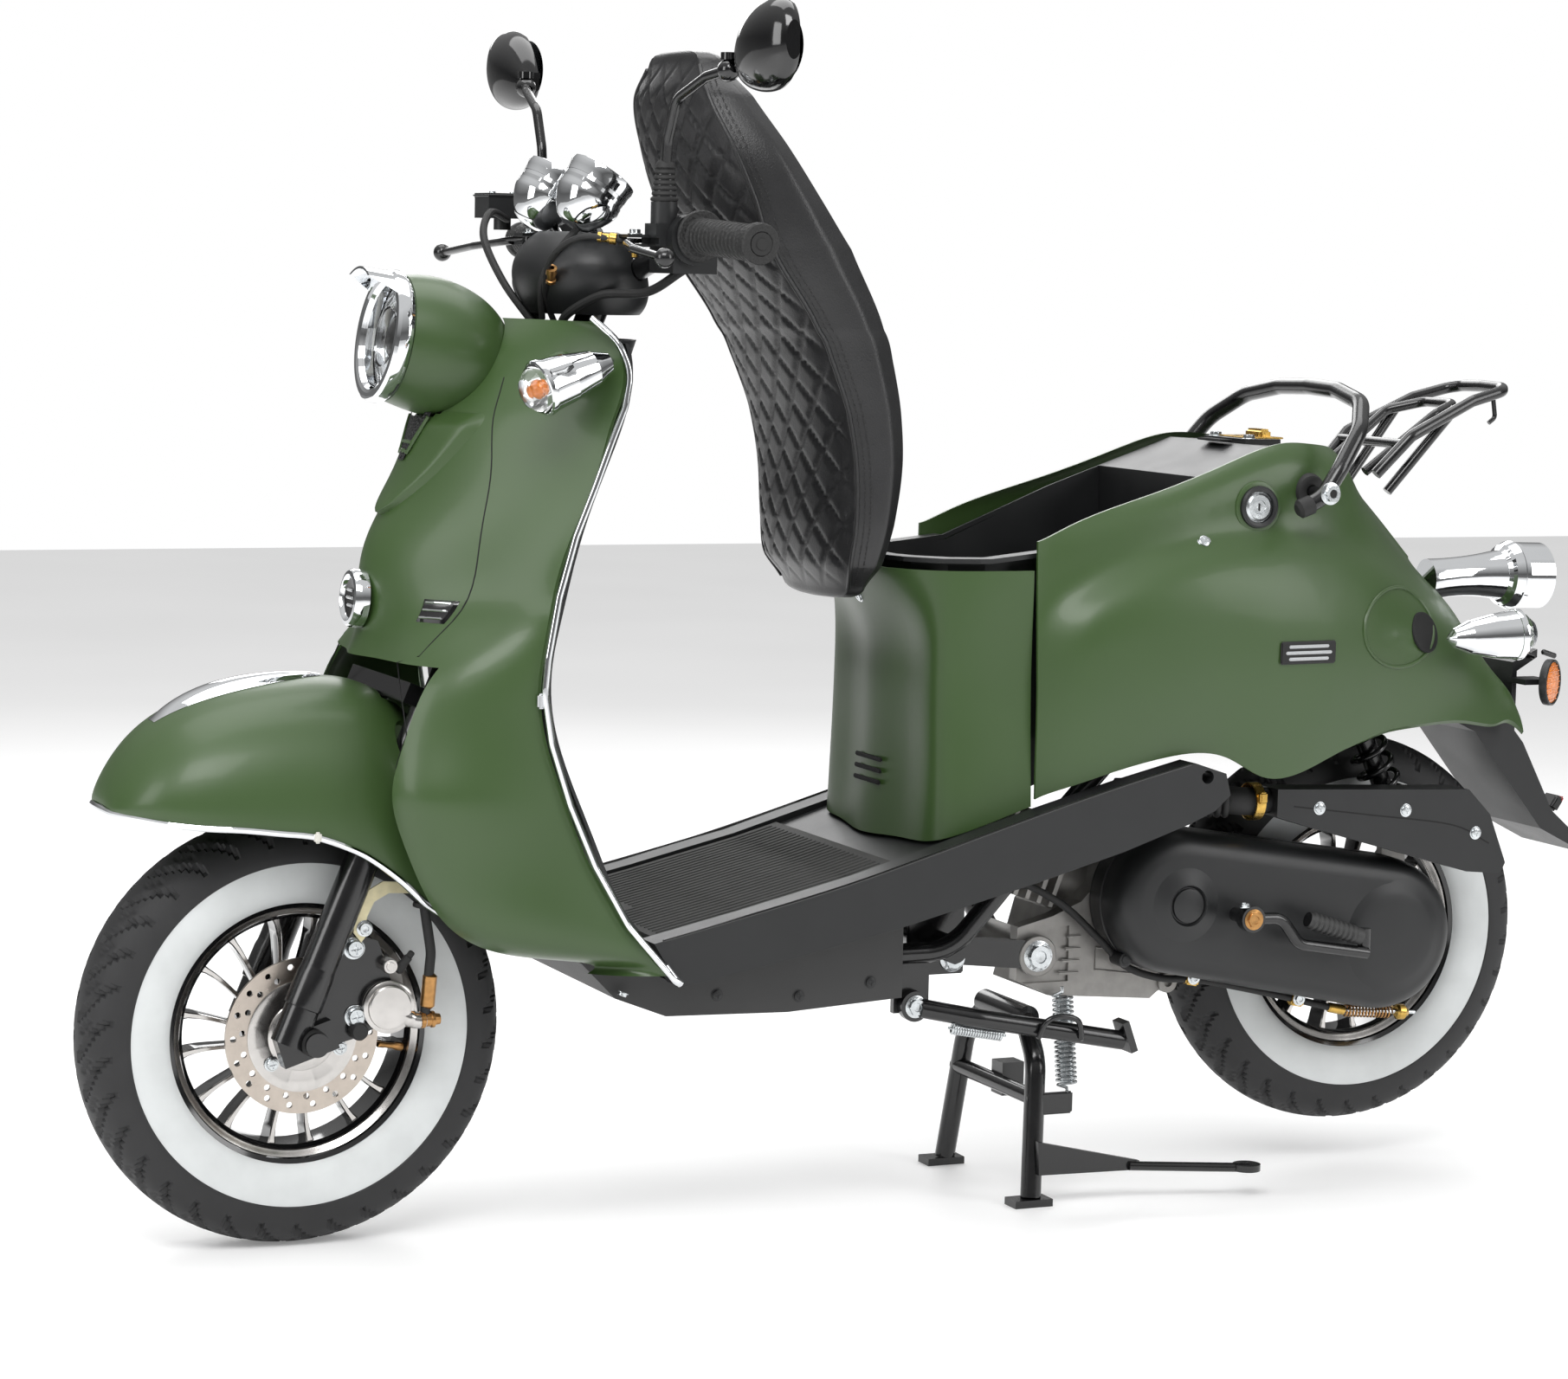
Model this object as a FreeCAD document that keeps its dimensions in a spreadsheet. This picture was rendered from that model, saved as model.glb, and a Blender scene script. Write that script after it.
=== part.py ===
import FreeCAD, Part
import math
import os
import re
import Sketcher

# Moped scooter on its centre stand, seat raised. Millimetres; +X forward, +Y to the rider's left, +Z up.
# The origin is on the floor, midway between the foremost and rearmost points, on the centre plane.

os.makedirs("parts", exist_ok=True)
doc = FreeCAD.newDocument("moped_scooter")
sheet = doc.addObject("Spreadsheet::Sheet", "Sizes")

SIZES = {
    # wheels
    "front_axle_x": 644, "front_axle_z": 216, "rear_axle_x": -567, "rear_axle_z": 263,
    "tyre_r": 216, "tyre_half_w": 46, "tyre_bead_r": 131, "tyre_wall_half_w": 36,
    "rim_lip_r": 130.4, "rim_half_w": 35, "rim_well_r": 108, "hub_r": 34,
    "axle_r": 6, "spoke_pairs": 8, "disc_r": 78, "disc_t": 4,
    # steering
    "rake": 22.5, "head_tube_r": 24, "stem_r": 15, "stem_gap": 0.06, "stanchion_r": 13,
    "leg_r": 17.5, "leg_y": 75, "yoke_t": 20, "bar_r": 11,
    "grip_r": 17, "grip_len": 128, "grip_inner_y": 196,
    # shells
    "shell_t": 3.5, "signal_r": 27, "tail_r": 37, "lamp_r": 63,
    "rail_half_w": 188, "rail_w": 34, "mat_t": 4,
    "hoop_r": 9, "rack_r": 6.5,
    # engine unit
    "pivot_x": -160, "pivot_z": 259, "cvt_inner_y": 62, "cvt_depth": 74,
    "cvt_front_x": -300, "cvt_front_z": 318, "cvt_front_r": 78,
    "cvt_rear_x": -556, "cvt_rear_z": 272, "cvt_rear_r": 84,
    "kick_x": -360, "kick_z": 306, "kick_shaft_r": 8,
    # stands
    "stand_x": -158, "stand_z": 190, "stand_leg_r": 11, "stand_foot_y": 106,
    "side_stand_x": 5, "side_stand_z": 222,
    # seat
    "seat_base_t": 7, "hinge_x": 50, "hinge_z": 690,
}
for row, (alias, value) in enumerate(SIZES.items(), start=1):
    sheet.set("A%d" % row, alias)
    sheet.set("B%d" % row, str(value))
    sheet.setAlias("B%d" % row, alias)
doc.recompute()

V = FreeCAD.Vector
X_AXIS, Y_AXIS, Z_AXIS = V(1, 0, 0), V(0, 1, 0), V(0, 0, 1)
subparts = []


def formula(text):
    """An expression on the sheet, with each size name given its sheet prefix."""
    return re.sub(r"[a-z][a-z_0-9]*", lambda m: "Sizes." + m.group(0) if m.group(0) in SIZES else m.group(0),
                  str(text))


def num(text):
    """The present value of an expression on the sheet."""
    return float(sheet.evalExpression(formula(text).replace("Sizes.", "")))


def bind(obj, **expressions):
    for prop, text in expressions.items():
        obj.setExpression(prop, formula(text))
    return obj


def placed(obj, at=(0, 0, 0), along=(0, 0, 1)):
    obj.Placement = FreeCAD.Placement(V(*at), FreeCAD.Rotation(Z_AXIS, V(*along)))
    return obj


def cylinder(name, at, along, radius, length):
    return placed(bind(doc.addObject("Part::Cylinder", name), Radius=radius, Height=length), at, along)


def cone(name, at, along, radius_1, radius_2, length):
    obj = doc.addObject("Part::Cone", name)
    return placed(bind(obj, Radius1=radius_1, Radius2=radius_2, Height=length), at, along)


def torus(name, at, along, ring_radius, tube_radius):
    obj = doc.addObject("Part::Torus", name)
    return placed(bind(obj, Radius1=ring_radius, Radius2=tube_radius), at, along)


def ball(name, at, radius):
    return placed(bind(doc.addObject("Part::Sphere", name), Radius=radius), at)


def box(name, centre, size, pitch=0.0):
    """A box about its centre, pitched about Y by so many degrees."""
    obj = bind(doc.addObject("Part::Box", name), Length=size[0], Width=size[1], Height=size[2])
    turn = FreeCAD.Rotation(Y_AXIS, pitch)
    half = V(num(size[0]) / 2, num(size[1]) / 2, num(size[2]) / 2)
    obj.Placement = FreeCAD.Placement(V(*centre) - turn.multVec(half), turn)
    return obj


def fused(name, pieces):
    obj = doc.addObject("Part::MultiFuse", name)
    obj.Shapes = pieces
    return obj


def minus(name, base, tools):
    obj = doc.addObject("Part::Cut", name)
    obj.Base = base
    obj.Tool = tools[0] if len(tools) == 1 else fused(name + "_tools", tools)
    return obj


def separate(name, pieces):
    obj = doc.addObject("Part::Compound", name)
    obj.Links = pieces
    return obj


def feature(name, shape):
    obj = doc.addObject("Part::Feature", name)
    obj.Shape = shape
    return obj


def mirrored(name, source):
    """The copy of a part on the other side of the centre plane."""
    obj = doc.addObject("Part::Mirroring", name)
    obj.Source = source
    obj.Base = V(0, 0, 0)
    obj.Normal = Y_AXIS
    return obj


def as_node(obj, label):
    """Marks an object as a finished sub-part with its own name."""
    obj.Label = label
    subparts.append(obj)
    return obj


def rounded_path(points, bend):
    """Straight runs through the points joined by tangent arcs of the bend radius."""
    pts = [V(*p) for p in points]
    edges = []
    start = pts[0]
    for before, corner, after in zip(pts, pts[1:], pts[2:]):
        into = (before - corner).normalize()
        away = (after - corner).normalize()
        angle = into.getAngle(away)
        if angle > math.pi - 0.02:
            continue
        back = bend / math.tan(angle / 2)
        room = 0.48 * min((before - corner).Length, (after - corner).Length)
        back = min(back, room)
        first, last = corner + into * back, corner + away * back
        middle_dir = (into + away).normalize()
        radius = back * math.tan(angle / 2)
        middle = corner + middle_dir * (radius / math.sin(angle / 2) - radius)
        edges.append(Part.makeLine(start, first))
        edges.append(Part.Arc(first, middle, last).toShape())
        start = last
    edges.append(Part.makeLine(start, pts[-1]))
    return Part.Wire(edges)


def tube(name, points, radius, bend=30.0):
    """A round bar of the given radius swept along a bent path."""
    path = rounded_path(points, bend)
    start_edge = path.OrderedEdges[0]
    heading = start_edge.tangentAt(start_edge.FirstParameter)
    ring = Part.Wire([Part.makeCircle(num(radius), V(*points[0]), heading)])
    return feature(name, path.makePipeShell([ring], True, False))


def spline(points, closed=False):
    curve = Part.BSplineCurve()
    curve.interpolate([V(*p) for p in points], PeriodicFlag=closed)
    return curve.toShape()


def closed_loft(name, sections):
    """A smooth solid through closed curves."""
    wires = [Part.Wire([spline(points, closed=True)]) for points in sections]
    return feature(name, Part.makeLoft(wires, True, False))


def sheet_loft(name, sections):
    """A thin curved panel: each section is an outer and an inner curve running the same way."""
    wires = []
    for outer, inner in sections:
        wires.append(Part.Wire([
            spline(outer),
            Part.makeLine(V(*outer[-1]), V(*inner[-1])),
            spline(inner[::-1]),
            Part.makeLine(V(*inner[0]), V(*outer[0])),
        ]))
    return feature(name, Part.makeLoft(wires, True, False))


def prism(name, outline_xz, y_low, y_high):
    """A solid with the given side outline, from one Y to another."""
    wire = Part.makePolygon([V(x, y_low, z) for x, z in outline_xz + outline_xz[:1]])
    return feature(name, Part.Face(wire).extrude(V(0, y_high - y_low, 0)))


def polygon_sketch(body, name, plane_role, points):
    """A closed sketch of straight edges whose corners are driven by the sheet."""
    sketch = body.newObject("Sketcher::SketchObject", name)
    plane = [f for f in body.Origin.OriginFeatures if f.Role == plane_role][0]
    sketch.AttachmentSupport = [(plane, "")]
    sketch.MapMode = "FlatFace"
    corners = [(num(px), num(py)) for px, py in points]
    count = len(corners)
    for i in range(count):
        a, b = corners[i], corners[(i + 1) % count]
        sketch.addGeometry(Part.LineSegment(V(a[0], a[1], 0), V(b[0], b[1], 0)), False)
    for i in range(count):
        sketch.addConstraint(Sketcher.Constraint("Coincident", i, 2, (i + 1) % count, 1))
    for i, (px, py) in enumerate(points):
        for kind, text, value in (("DistanceX", px, corners[i][0]), ("DistanceY", py, corners[i][1])):
            index = sketch.addConstraint(Sketcher.Constraint(kind, -1, 1, i, 1, value))
            sketch.setExpression("Constraints[%d]" % index, formula(text))
    return sketch


def turned(name, profile, at=(0, 0, 0), along=(0, 1, 0)):
    """A body of revolution. The profile gives (radius, distance along the axis)."""
    body = doc.addObject("PartDesign::Body", name)
    sketch = polygon_sketch(body, name + "_profile", "XY_Plane", profile)
    revolve = body.newObject("PartDesign::Revolution", name + "_turned")
    revolve.Profile = sketch
    revolve.ReferenceAxis = (sketch, ["V_Axis"])
    revolve.Angle = 360
    body.Tip = revolve
    body.Placement = FreeCAD.Placement(V(*at), FreeCAD.Rotation(Y_AXIS, V(*along)))
    return body


RAKE = math.radians(num("rake"))
STEER_UP = V(-math.sin(RAKE), 0, math.cos(RAKE))
STEER_X_AT_AXLE = 629.0
SHELL_T = num("shell_t")


def on_steering_axis(height):
    """The point of the steering axis at a height above the floor."""
    return V(STEER_X_AT_AXLE - (height - num("front_axle_z")) * math.tan(RAKE), 0, height)


def along_leg(height, y, ahead=35.0):
    """A point of the fork leg, which runs parallel to the steering axis and ahead of it."""
    p = on_steering_axis(height)
    return V(p.x + ahead / math.cos(RAKE), y, height)


def xyz(vector):
    return (vector.x, vector.y, vector.z)


# ---------------------------------------------------------------- wheels

def tyre(label, x, z):
    profile = [
        ("tyre_bead_r", "-tyre_wall_half_w"), ("tyre_bead_r+12", "-tyre_half_w+3"),
        ("tyre_bead_r+35", "-tyre_half_w"), ("tyre_r-26", "-tyre_half_w+3"), ("tyre_r-9", "-tyre_half_w+15"),
        ("tyre_r", "-9"), ("tyre_r", "9"), ("tyre_r-9", "tyre_half_w-15"), ("tyre_r-26", "tyre_half_w-3"),
        ("tyre_bead_r+35", "tyre_half_w"), ("tyre_bead_r+12", "tyre_half_w-3"),
        ("tyre_bead_r", "tyre_wall_half_w"), ("tyre_bead_r+6", "tyre_wall_half_w-8"),
        ("tyre_r-20", "tyre_half_w-14"), ("tyre_r-12", "0"), ("tyre_r-20", "-tyre_half_w+14"),
        ("tyre_bead_r+6", "-tyre_wall_half_w+8"),
    ]
    return as_node(turned(label, profile, (x, 0, z)), label)


def rim(label, x, z, hub_left, hub_right):
    """A cast wheel: rim band, hub and spokes."""
    band = turned(label + "_band", [
        ("rim_lip_r", "-rim_half_w"), ("rim_lip_r", "-rim_half_w+4"), ("rim_well_r+8", "-rim_half_w+8"),
        ("rim_well_r+8", "rim_half_w-8"), ("rim_lip_r", "rim_half_w-4"), ("rim_lip_r", "rim_half_w"),
        ("rim_well_r+6", "rim_half_w-2"), ("rim_well_r", "rim_half_w-12"),
        ("rim_well_r", "-rim_half_w+12"), ("rim_well_r+6", "-rim_half_w+2"),
    ], (x, 0, z))
    hub = cylinder(label + "_hub", (x, hub_right, z), (0, 1, 0), "hub_r", hub_left - hub_right)
    spokes = []
    pairs = int(num("spoke_pairs"))
    for i in range(pairs):
        for skew in (-0.13, 0.13):
            angle = 2 * math.pi * i / pairs + skew
            direction = V(math.cos(angle), 0, math.sin(angle))
            spoke = box(label + "_spoke", (0, 0, 0), ("rim_well_r-hub_r+14", "16", "7"))
            turn = FreeCAD.Rotation(X_AXIS, direction)
            middle = V(x, 6, z) + direction * (num("hub_r+rim_well_r") / 2)
            half = V(num("rim_well_r-hub_r+14") / 2, 8, 3.5)
            spoke.Placement = FreeCAD.Placement(middle - turn.multVec(half), turn)
            spokes.append(spoke)
    whole = fused(label + "_casting", [band, hub] + spokes)
    bore = cylinder(label + "_bore", (x, hub_right - 5, z), (0, 1, 0), "axle_r+0.05", hub_left - hub_right + 10)
    return as_node(minus(label, whole, [bore]), label)


tyre("front_tyre", num("front_axle_x"), num("front_axle_z"))
rim("front_rim", num("front_axle_x"), num("front_axle_z"), 40, -40)
tyre("rear_tyre", num("rear_axle_x"), num("rear_axle_z"))
rim("rear_rim", num("rear_axle_x"), num("rear_axle_z"), 44, -44)

disc_plate = cylinder("disc_plate", (num("front_axle_x"), 42, num("front_axle_z")), (0, 1, 0), "disc_r", "disc_t")
disc_holes = [cylinder("disc_bore", (num("front_axle_x"), 40, num("front_axle_z")), (0, 1, 0), "axle_r+6", "10")]
for i in range(18):
    turn = 2 * math.pi * i / 18
    for reach in (70, 61):
        skew = turn + (0.09 if reach == 61 else 0.0)
        disc_holes.append(cylinder("disc_hole", (num("front_axle_x") + reach * math.cos(skew), 40,
                                                 num("front_axle_z") + reach * math.sin(skew)),
                                   (0, 1, 0), "3.2", "10"))
as_node(minus("brake_disc", disc_plate, disc_holes), "brake_disc")

# ---------------------------------------------------------------- fork and brake

LEG_BOTTOM_Z = 214.0
LEG_TOP_Z = 455.0


def fork_leg(side):
    low = along_leg(LEG_BOTTOM_Z, side * num("leg_y"))
    high = along_leg(LEG_TOP_Z, side * num("leg_y"))
    length = (high - low).Length
    outer = cylinder("leg_outer", xyz(low), xyz(STEER_UP), "leg_r", length)
    lug = box("leg_lug", (num("front_axle_x") + 4, side * 72, num("front_axle_z") - 2), ("58", "18", "30"), 18)
    return outer, lug, low, length


leg_solids = []
leg_bores = []
for side in (1, -1):
    outer, lug, low, length = fork_leg(side)
    leg_solids += [outer, lug]
    leg_bores.append(cylinder("leg_bore", xyz(low + STEER_UP * 60), xyz(STEER_UP), "stanchion_r+0.05", length))
axle_rod = cylinder("axle_rod", (num("front_axle_x"), -92, num("front_axle_z")), (0, 1, 0), "axle_r", "184")
axle_caps = [cylinder("axle_cap", (num("front_axle_x"), side * 92 - 8, num("front_axle_z")), (0, 1, 0), "12", "16")
             for side in (1, -1)]
caliper_plate = prism("caliper_plate", [(638, 300), (608, 322), (575, 312), (560, 268), (570, 228), (600, 215),
                                        (640, 205), (655, 230)], 66, 72)
fork_sum = fused("fork_sum", leg_solids + [axle_rod, caliper_plate] + axle_caps)
as_node(minus("fork_lowers", fork_sum, leg_bores), "fork_lowers")

caliper_body = cylinder("caliper_piston", (566, 50, 247), (0, 1, 0), "25", "33")
caliper_back = prism("caliper_back", [(592, 292), (570, 300), (548, 276), (540, 240), (556, 222), (586, 224)], 50, 64)
caliper_inner = prism("caliper_inner", [(588, 276), (562, 278), (550, 250), (556, 228), (584, 232)], 30, 40)
caliper_bridge = prism("caliper_bridge", [(570, 298), (552, 280), (544, 262), (552, 256), (562, 272), (576, 288)],
                       30, 64)
caliper_sum = fused("caliper_sum", [caliper_body, caliper_back, caliper_inner, caliper_bridge])
disc_sweep = cylinder("disc_sweep", (num("front_axle_x"), 40.5, num("front_axle_z")), (0, 1, 0), "disc_r+2", "7")
plate_seat = box("plate_seat", (600, 69, 262), ("110", "7", "130"))
as_node(minus("brake_caliper", caliper_sum, [disc_sweep, plate_seat]), "brake_caliper")

as_node(tube("brake_hose", [(528, 80, 238), (524, 84, 300), (533, 86, 352), (529, 83, 384), (525, 80, 402)],
             "5", 45), "brake_hose")

# ---------------------------------------------------------------- steering assembly

stem_low = on_steering_axis(548)
stem_high = on_steering_axis(962)
stem_rod = cylinder("stem_rod", xyz(stem_low), xyz(STEER_UP), "stem_r", (stem_high - stem_low).Length)
yoke_centre = on_steering_axis(536) + V(19, 0, 8)
yoke = box("yoke", xyz(yoke_centre), ("86", "leg_y*2+36", "yoke_t"), -num("rake"))
stanchions = []
for side in (1, -1):
    low = along_leg(300, side * num("leg_y"))
    high = along_leg(540, side * num("leg_y"))
    stanchions.append(cylinder("stanchion", xyz(low), xyz(STEER_UP), "stanchion_r", (high - low).Length))
as_node(fused("steering_stem", [stem_rod, yoke] + stanchions), "steering_stem")


def fender_ring(crest, lip, half_w, inset):
    """A fender section: an arch across the wheel from the crest down to the lip on both sides."""
    down = V(lip[0] - crest[0], 0, lip[1] - crest[1])
    into = V(down).normalize() * inset
    ring = []
    for step in range(-6, 7):
        a = abs(step) / 6.0 * math.pi / 2
        point = V(crest[0], 0, crest[1]) + down * (1 - math.cos(a) ** 0.8) + into
        y = math.copysign(half_w * math.sin(a), step) * (1 - inset / half_w)
        ring.append((point.x, y, point.z))
    return ring


FENDER = [
    # crest (x, z), lip (x, z), half width
    ((837, 449), (832, 443), 44), ((832, 467), (813, 441), 74), ((822, 487), (790, 438), 92),
    ((800, 516), (758, 435), 105), ((765, 541), (724, 433), 111), ((715, 558), (689, 429), 114),
    ((650, 567), (652, 424), 116), ((590, 566), (614, 410), 118), ((545, 545), (590, 396), 118),
    ((505, 500), (565, 377), 117), ((470, 440), (537, 352), 114), ((438, 382), (500, 331), 108),
    ((420, 332), (461, 313), 100), ((411, 303), (426, 298), 88),
]
fender_sections = [(fender_ring(*row, 0.0), fender_ring(*row, SHELL_T)) for row in FENDER]
fender_skin = sheet_loft("fender_skin", fender_sections)
stem_way = cylinder("fender_stem_way", xyz(on_steering_axis(480)), xyz(STEER_UP), "stem_r+14", "140")
leg_ways = [cylinder("leg_way", xyz(along_leg(440, side * num("leg_y"))), xyz(STEER_UP), "leg_r+2", "120")
            for side in (1, -1)]
yoke_way = box("yoke_way", xyz(yoke_centre), ("92", "leg_y*2+50", "yoke_t+6"), -num("rake"))
as_node(minus("front_fender", fender_skin, [stem_way, yoke_way] + leg_ways), "front_fender")

bar_tube = tube("bar_tube", [(290, 326, 1003), (299, 190, 1010), (312, 70, 975), (312, -70, 975),
                             (299, -190, 1010), (290, -326, 1003)], "bar_r", 60)
clamp = cylinder("bar_clamp", xyz(on_steering_axis(966)), xyz(STEER_UP), "24", "26")
as_node(fused("handlebar", [bar_tube, clamp]), "handlebar")

GRIP_FROM = V(299, 190, 1010)
GRIP_TO = V(290, 326, 1003)


def grip(label, side):
    """A rubber grip with an end flange, bored to slip over the bar."""
    start = V(GRIP_FROM.x, side * GRIP_FROM.y, GRIP_FROM.z)
    end = V(GRIP_TO.x, side * GRIP_TO.y, GRIP_TO.z)
    axis = (end - start).normalize()
    at = start + axis * 10.5
    body = cylinder(label + "_body", xyz(at), xyz(axis), "grip_r", "grip_len+3")
    flange = cylinder(label + "_flange", xyz(at), xyz(axis), "grip_r+8", "5")
    knob = cylinder(label + "_knob", xyz(at + axis * (num("grip_len") - 0.5)), xyz(axis), "grip_r+2", "9")
    bore = cylinder(label + "_bore", xyz(start - axis * 5), xyz(axis), "bar_r+0.05", "grip_len+16")
    whole = fused(label + "_sum", [body, flange, knob])
    return as_node(minus(label, whole, [bore]), label)


grip("hand_grip", 1)
grip("throttle_grip", -1)


def switch_pod(side):
    """The plastic housing clamped round the bar, with the mirror boss on top."""
    pod = cylinder("pod", (302.6, side * 178 - 20, 1006), (0, 1, 0), "25", "40")
    below = box("pod_below", (300, side * 160, 986), ("46", "62", "26"))
    boss = cylinder("mirror_boss", (325, side * 170, 1018), (0, 0, 1), "13", "24")
    arm = box("pod_arm", (318, side * 168, 1010), ("40", "30", "22"))
    perch = box("lever_perch", (336, side * 150, 1004), ("46", "26", "12"))
    return [pod, below, boss, arm, perch]


control_parts = []
for side in (1, -1):
    solid = fused("pod_sum", switch_pod(side))
    bar_way = tube("bar_way", [(290, side * 326, 1003), (299, side * 190, 1010), (312, side * 70, 975),
                               (312, 0, 975)], "bar_r+0.4", 60)
    lever_slot = box("lever_slot", (352, side * 158, 1004), ("34", "60", "6"))
    lamp_slot = box("switch_slot", (274, side * 158, 984), ("12", "34", "12"))
    control_parts.append(minus("control_pod", solid, [bar_way, lever_slot, lamp_slot]))
reservoir = box("reservoir", (364, -186, 1036), ("46", "44", "22"))
reservoir_neck = cylinder("reservoir_neck", (364, -186, 1013), (0, 0, 1), "9", "14")
control_parts.append(fused("master_cylinder", [reservoir, reservoir_neck]))
as_node(separate("bar_controls", control_parts), "bar_controls")


def brake_lever(label, side):
    """A blade lever, pivoted at the perch and ending in a ball."""
    pivot = (347, side * 150, 1001.8)
    eye = cylinder(label + "_eye", pivot, (0, 0, 1), "7", "4.4")
    arm = tube(label + "_arm", [(347, side * 152, 1004), (366, side * 176, 1001), (380, side * 230, 996),
                                (384, side * 318, 988)], "4.2", 30)
    knob = ball(label + "_knob", (384, side * 320, 988), "9.5")
    hole = cylinder(label + "_hole", (347, side * 150, 990), (0, 0, 1), "2.6", "30")
    whole = fused(label + "_sum", [eye, arm, knob])
    trim = [box(label + "_above", (347, side * 150, 1016.2), ("40", "34", "20")),
            box(label + "_below", (347, side * 150, 991.8), ("40", "34", "19"))]
    return as_node(minus(label, whole, [hole] + trim), label)


brake_lever("brake_lever_left", 1)
brake_lever("brake_lever_right", -1)

as_node(box("horn_button", (271, 150, 984), ("9", "9", "8")), "horn_button")
as_node(box("turn_switch", (272, 166, 984), ("8", "8", "7")), "turn_switch")
as_node(box("starter_button", (271, -158, 984), ("9", "12", "8")), "starter_button")

neck_sections = []
for z, x_low, x_high, half_w in ((930, 288, 396, 70), (950, 280, 408, 84), (975, 284, 412, 88), (1000, 296, 400, 74),
                                 (1012, 312, 386, 52)):
    middle, half_l = (x_low + x_high) / 2, (x_high - x_low) / 2
    neck_sections.append([(middle + half_l * math.cos(t * math.pi / 8), half_w * math.sin(t * math.pi / 8), z)
                          for t in range(16)])
neck_outer = closed_loft("neck_outer", neck_sections)
neck_inner = []
for ring in neck_sections:
    cx = sum(p[0] for p in ring) / 16
    neck_inner.append([(cx + (p[0] - cx) * 0.93, p[1] * 0.93, p[2] - 4) for p in ring])
neck_room = closed_loft("neck_room", neck_inner)
neck_bar = tube("neck_bar_way", [(299, 190, 1010), (312, 70, 975), (312, -70, 975), (299, -190, 1010)],
                "bar_r+1", 60)
neck_column = cylinder("neck_column_way", xyz(on_steering_axis(920)), xyz(STEER_UP), "27", "110")
as_node(minus("neck_cover", neck_outer, [neck_room, neck_bar, neck_column]), "neck_cover")

GAUGE_AXIS = V(-0.55, 0, 0.835)
gauge_cups = []
for side in (1, -1):
    gauge_at = V(366, side * 62, 1040)
    cup = turned("gauge_cup", [("0", "-26"), ("18", "-22"), ("30", "-4"), ("33", "16"), ("33", "34"), ("29", "34"),
                               ("29", "22"), ("0", "22")], xyz(gauge_at), xyz(GAUGE_AXIS))
    gauge_cups.append(cup)
as_node(separate("gauges", gauge_cups), "gauges")


def mirror_stem(side):
    boot = cone("mirror_boot", (325, side * 170, 1042.2), (0, 0, 1), "12", "9", "28")
    stem = tube("mirror_rod", [(325, side * 170, 1060), (325, side * 176, 1100), (324, side * 196, 1140),
                               (316, side * 250, 1160), (308, side * 276, 1165)], "5", 22)
    knuckle = ball("mirror_knuckle", (306, side * 280, 1165.5), "9")
    return fused("mirror_stem", [boot, stem, knuckle])


as_node(separate("mirror_stems", [mirror_stem(1), mirror_stem(-1)]), "mirror_stems")


def mirror_head(label, side):
    """A teardrop shell, hollowed on the rider's side for the glass."""
    sections = []
    for y, z, rx, rz in ((291, 1170, 8, 9), (306, 1176, 19, 26), (334, 1184, 27, 40), (362, 1188, 27, 43),
                         (388, 1190, 19, 35), (402, 1190, 8, 18)):
        sections.append([(293 + rx * math.cos(t * math.pi / 8), side * y, z + rz * math.sin(t * math.pi / 8))
                         for t in range(16)])
    shell = closed_loft(label + "_shell", sections)
    face = box(label + "_face", (262, side * 340, 1186), ("50", "160", "120"))
    cap = cylinder(label + "_cap", (306, side * 280, 1175), (0, 0, 1), "8", "7")
    bridge = box(label + "_bridge", (300, side * 287, 1178.5), ("20", "16", "6"))
    return as_node(minus(label, fused(label + "_sum", [shell, cap, bridge]), [face]), label)


mirror_head("mirror_head_left", 1)
mirror_head("mirror_head_right", -1)

# ---------------------------------------------------------------- frame

head_low = on_steering_axis(585)
head_high = on_steering_axis(895)
head_tube = cylinder("head_tube", xyz(head_low), xyz(STEER_UP), "head_tube_r", (head_high - head_low).Length)
head_bore = cylinder("head_bore", xyz(on_steering_axis(570)), xyz(STEER_UP), "stem_r+stem_gap", 400)
down_tube = tube("down_tube", [(440, 0, 640), (400, 0, 520), (352, 0, 380), (300, 0, 290), (120, 0, 276)], "19", 80)
front_cross = cylinder("front_cross", (150, -110, 276), (0, 1, 0), "14", "220")
frame_rails = []
for side in (1, -1):
    frame_rails.append(tube("frame_rail", [(150, side * 100, 276), (-40, side * 100, 276), (-150, side * 129, 420),
                                           (-320, side * 130, 600), (-470, side * 105, 650), (-560, side * 60, 655)],
                            "11", 60))
rear_cross = cylinder("rear_cross", (-332, -128, 606), (0, 1, 0), "10", "256")
shock_top_pin = cylinder("shock_top_pin", (-470, 64, 640), (0, 1, 0), "5.95", "40")
hanger_cross = cylinder("hanger_cross", (-44, -104, 277), (0, 1, 0), "14", "208")
hanger_arms = [box("hanger_arm", (-100, side * 62, 266), ("130", "8", "30"), -6) for side in (1, -1)]
stand_lug = box("side_stand_lug", (5, 98, 244), ("40", "8", "60"))
frame_sum = fused("frame_sum", [head_tube, down_tube, front_cross, rear_cross, shock_top_pin, hanger_cross, stand_lug]
                  + frame_rails + hanger_arms)
as_node(minus("frame", frame_sum, [head_bore]), "frame")

# ---------------------------------------------------------------- front shells

SHIELD = [
    # z, front x on the centre plane, x at y 100, half width, x at the edge
    (283, 412, 400, 188, 312), (316, 520, 508, 188, 344), (360, 572, 558, 188, 377), (429, 604, 590, 188, 415),
    (507, 612, 596, 188, 444), (568, 596, 578, 188, 454), (600, 580, 558, 188, 451), (640, 573, 530, 188, 444),
    (700, 566, 512, 189, 430), (760, 536, 490, 190, 405), (811, 516, 472, 190, 389), (850, 498, 455, 190, 376),
    (885, 478, 438, 188, 372), (912, 456, 424, 178, 380), (925, 442, 416, 158, 398),
]


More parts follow.
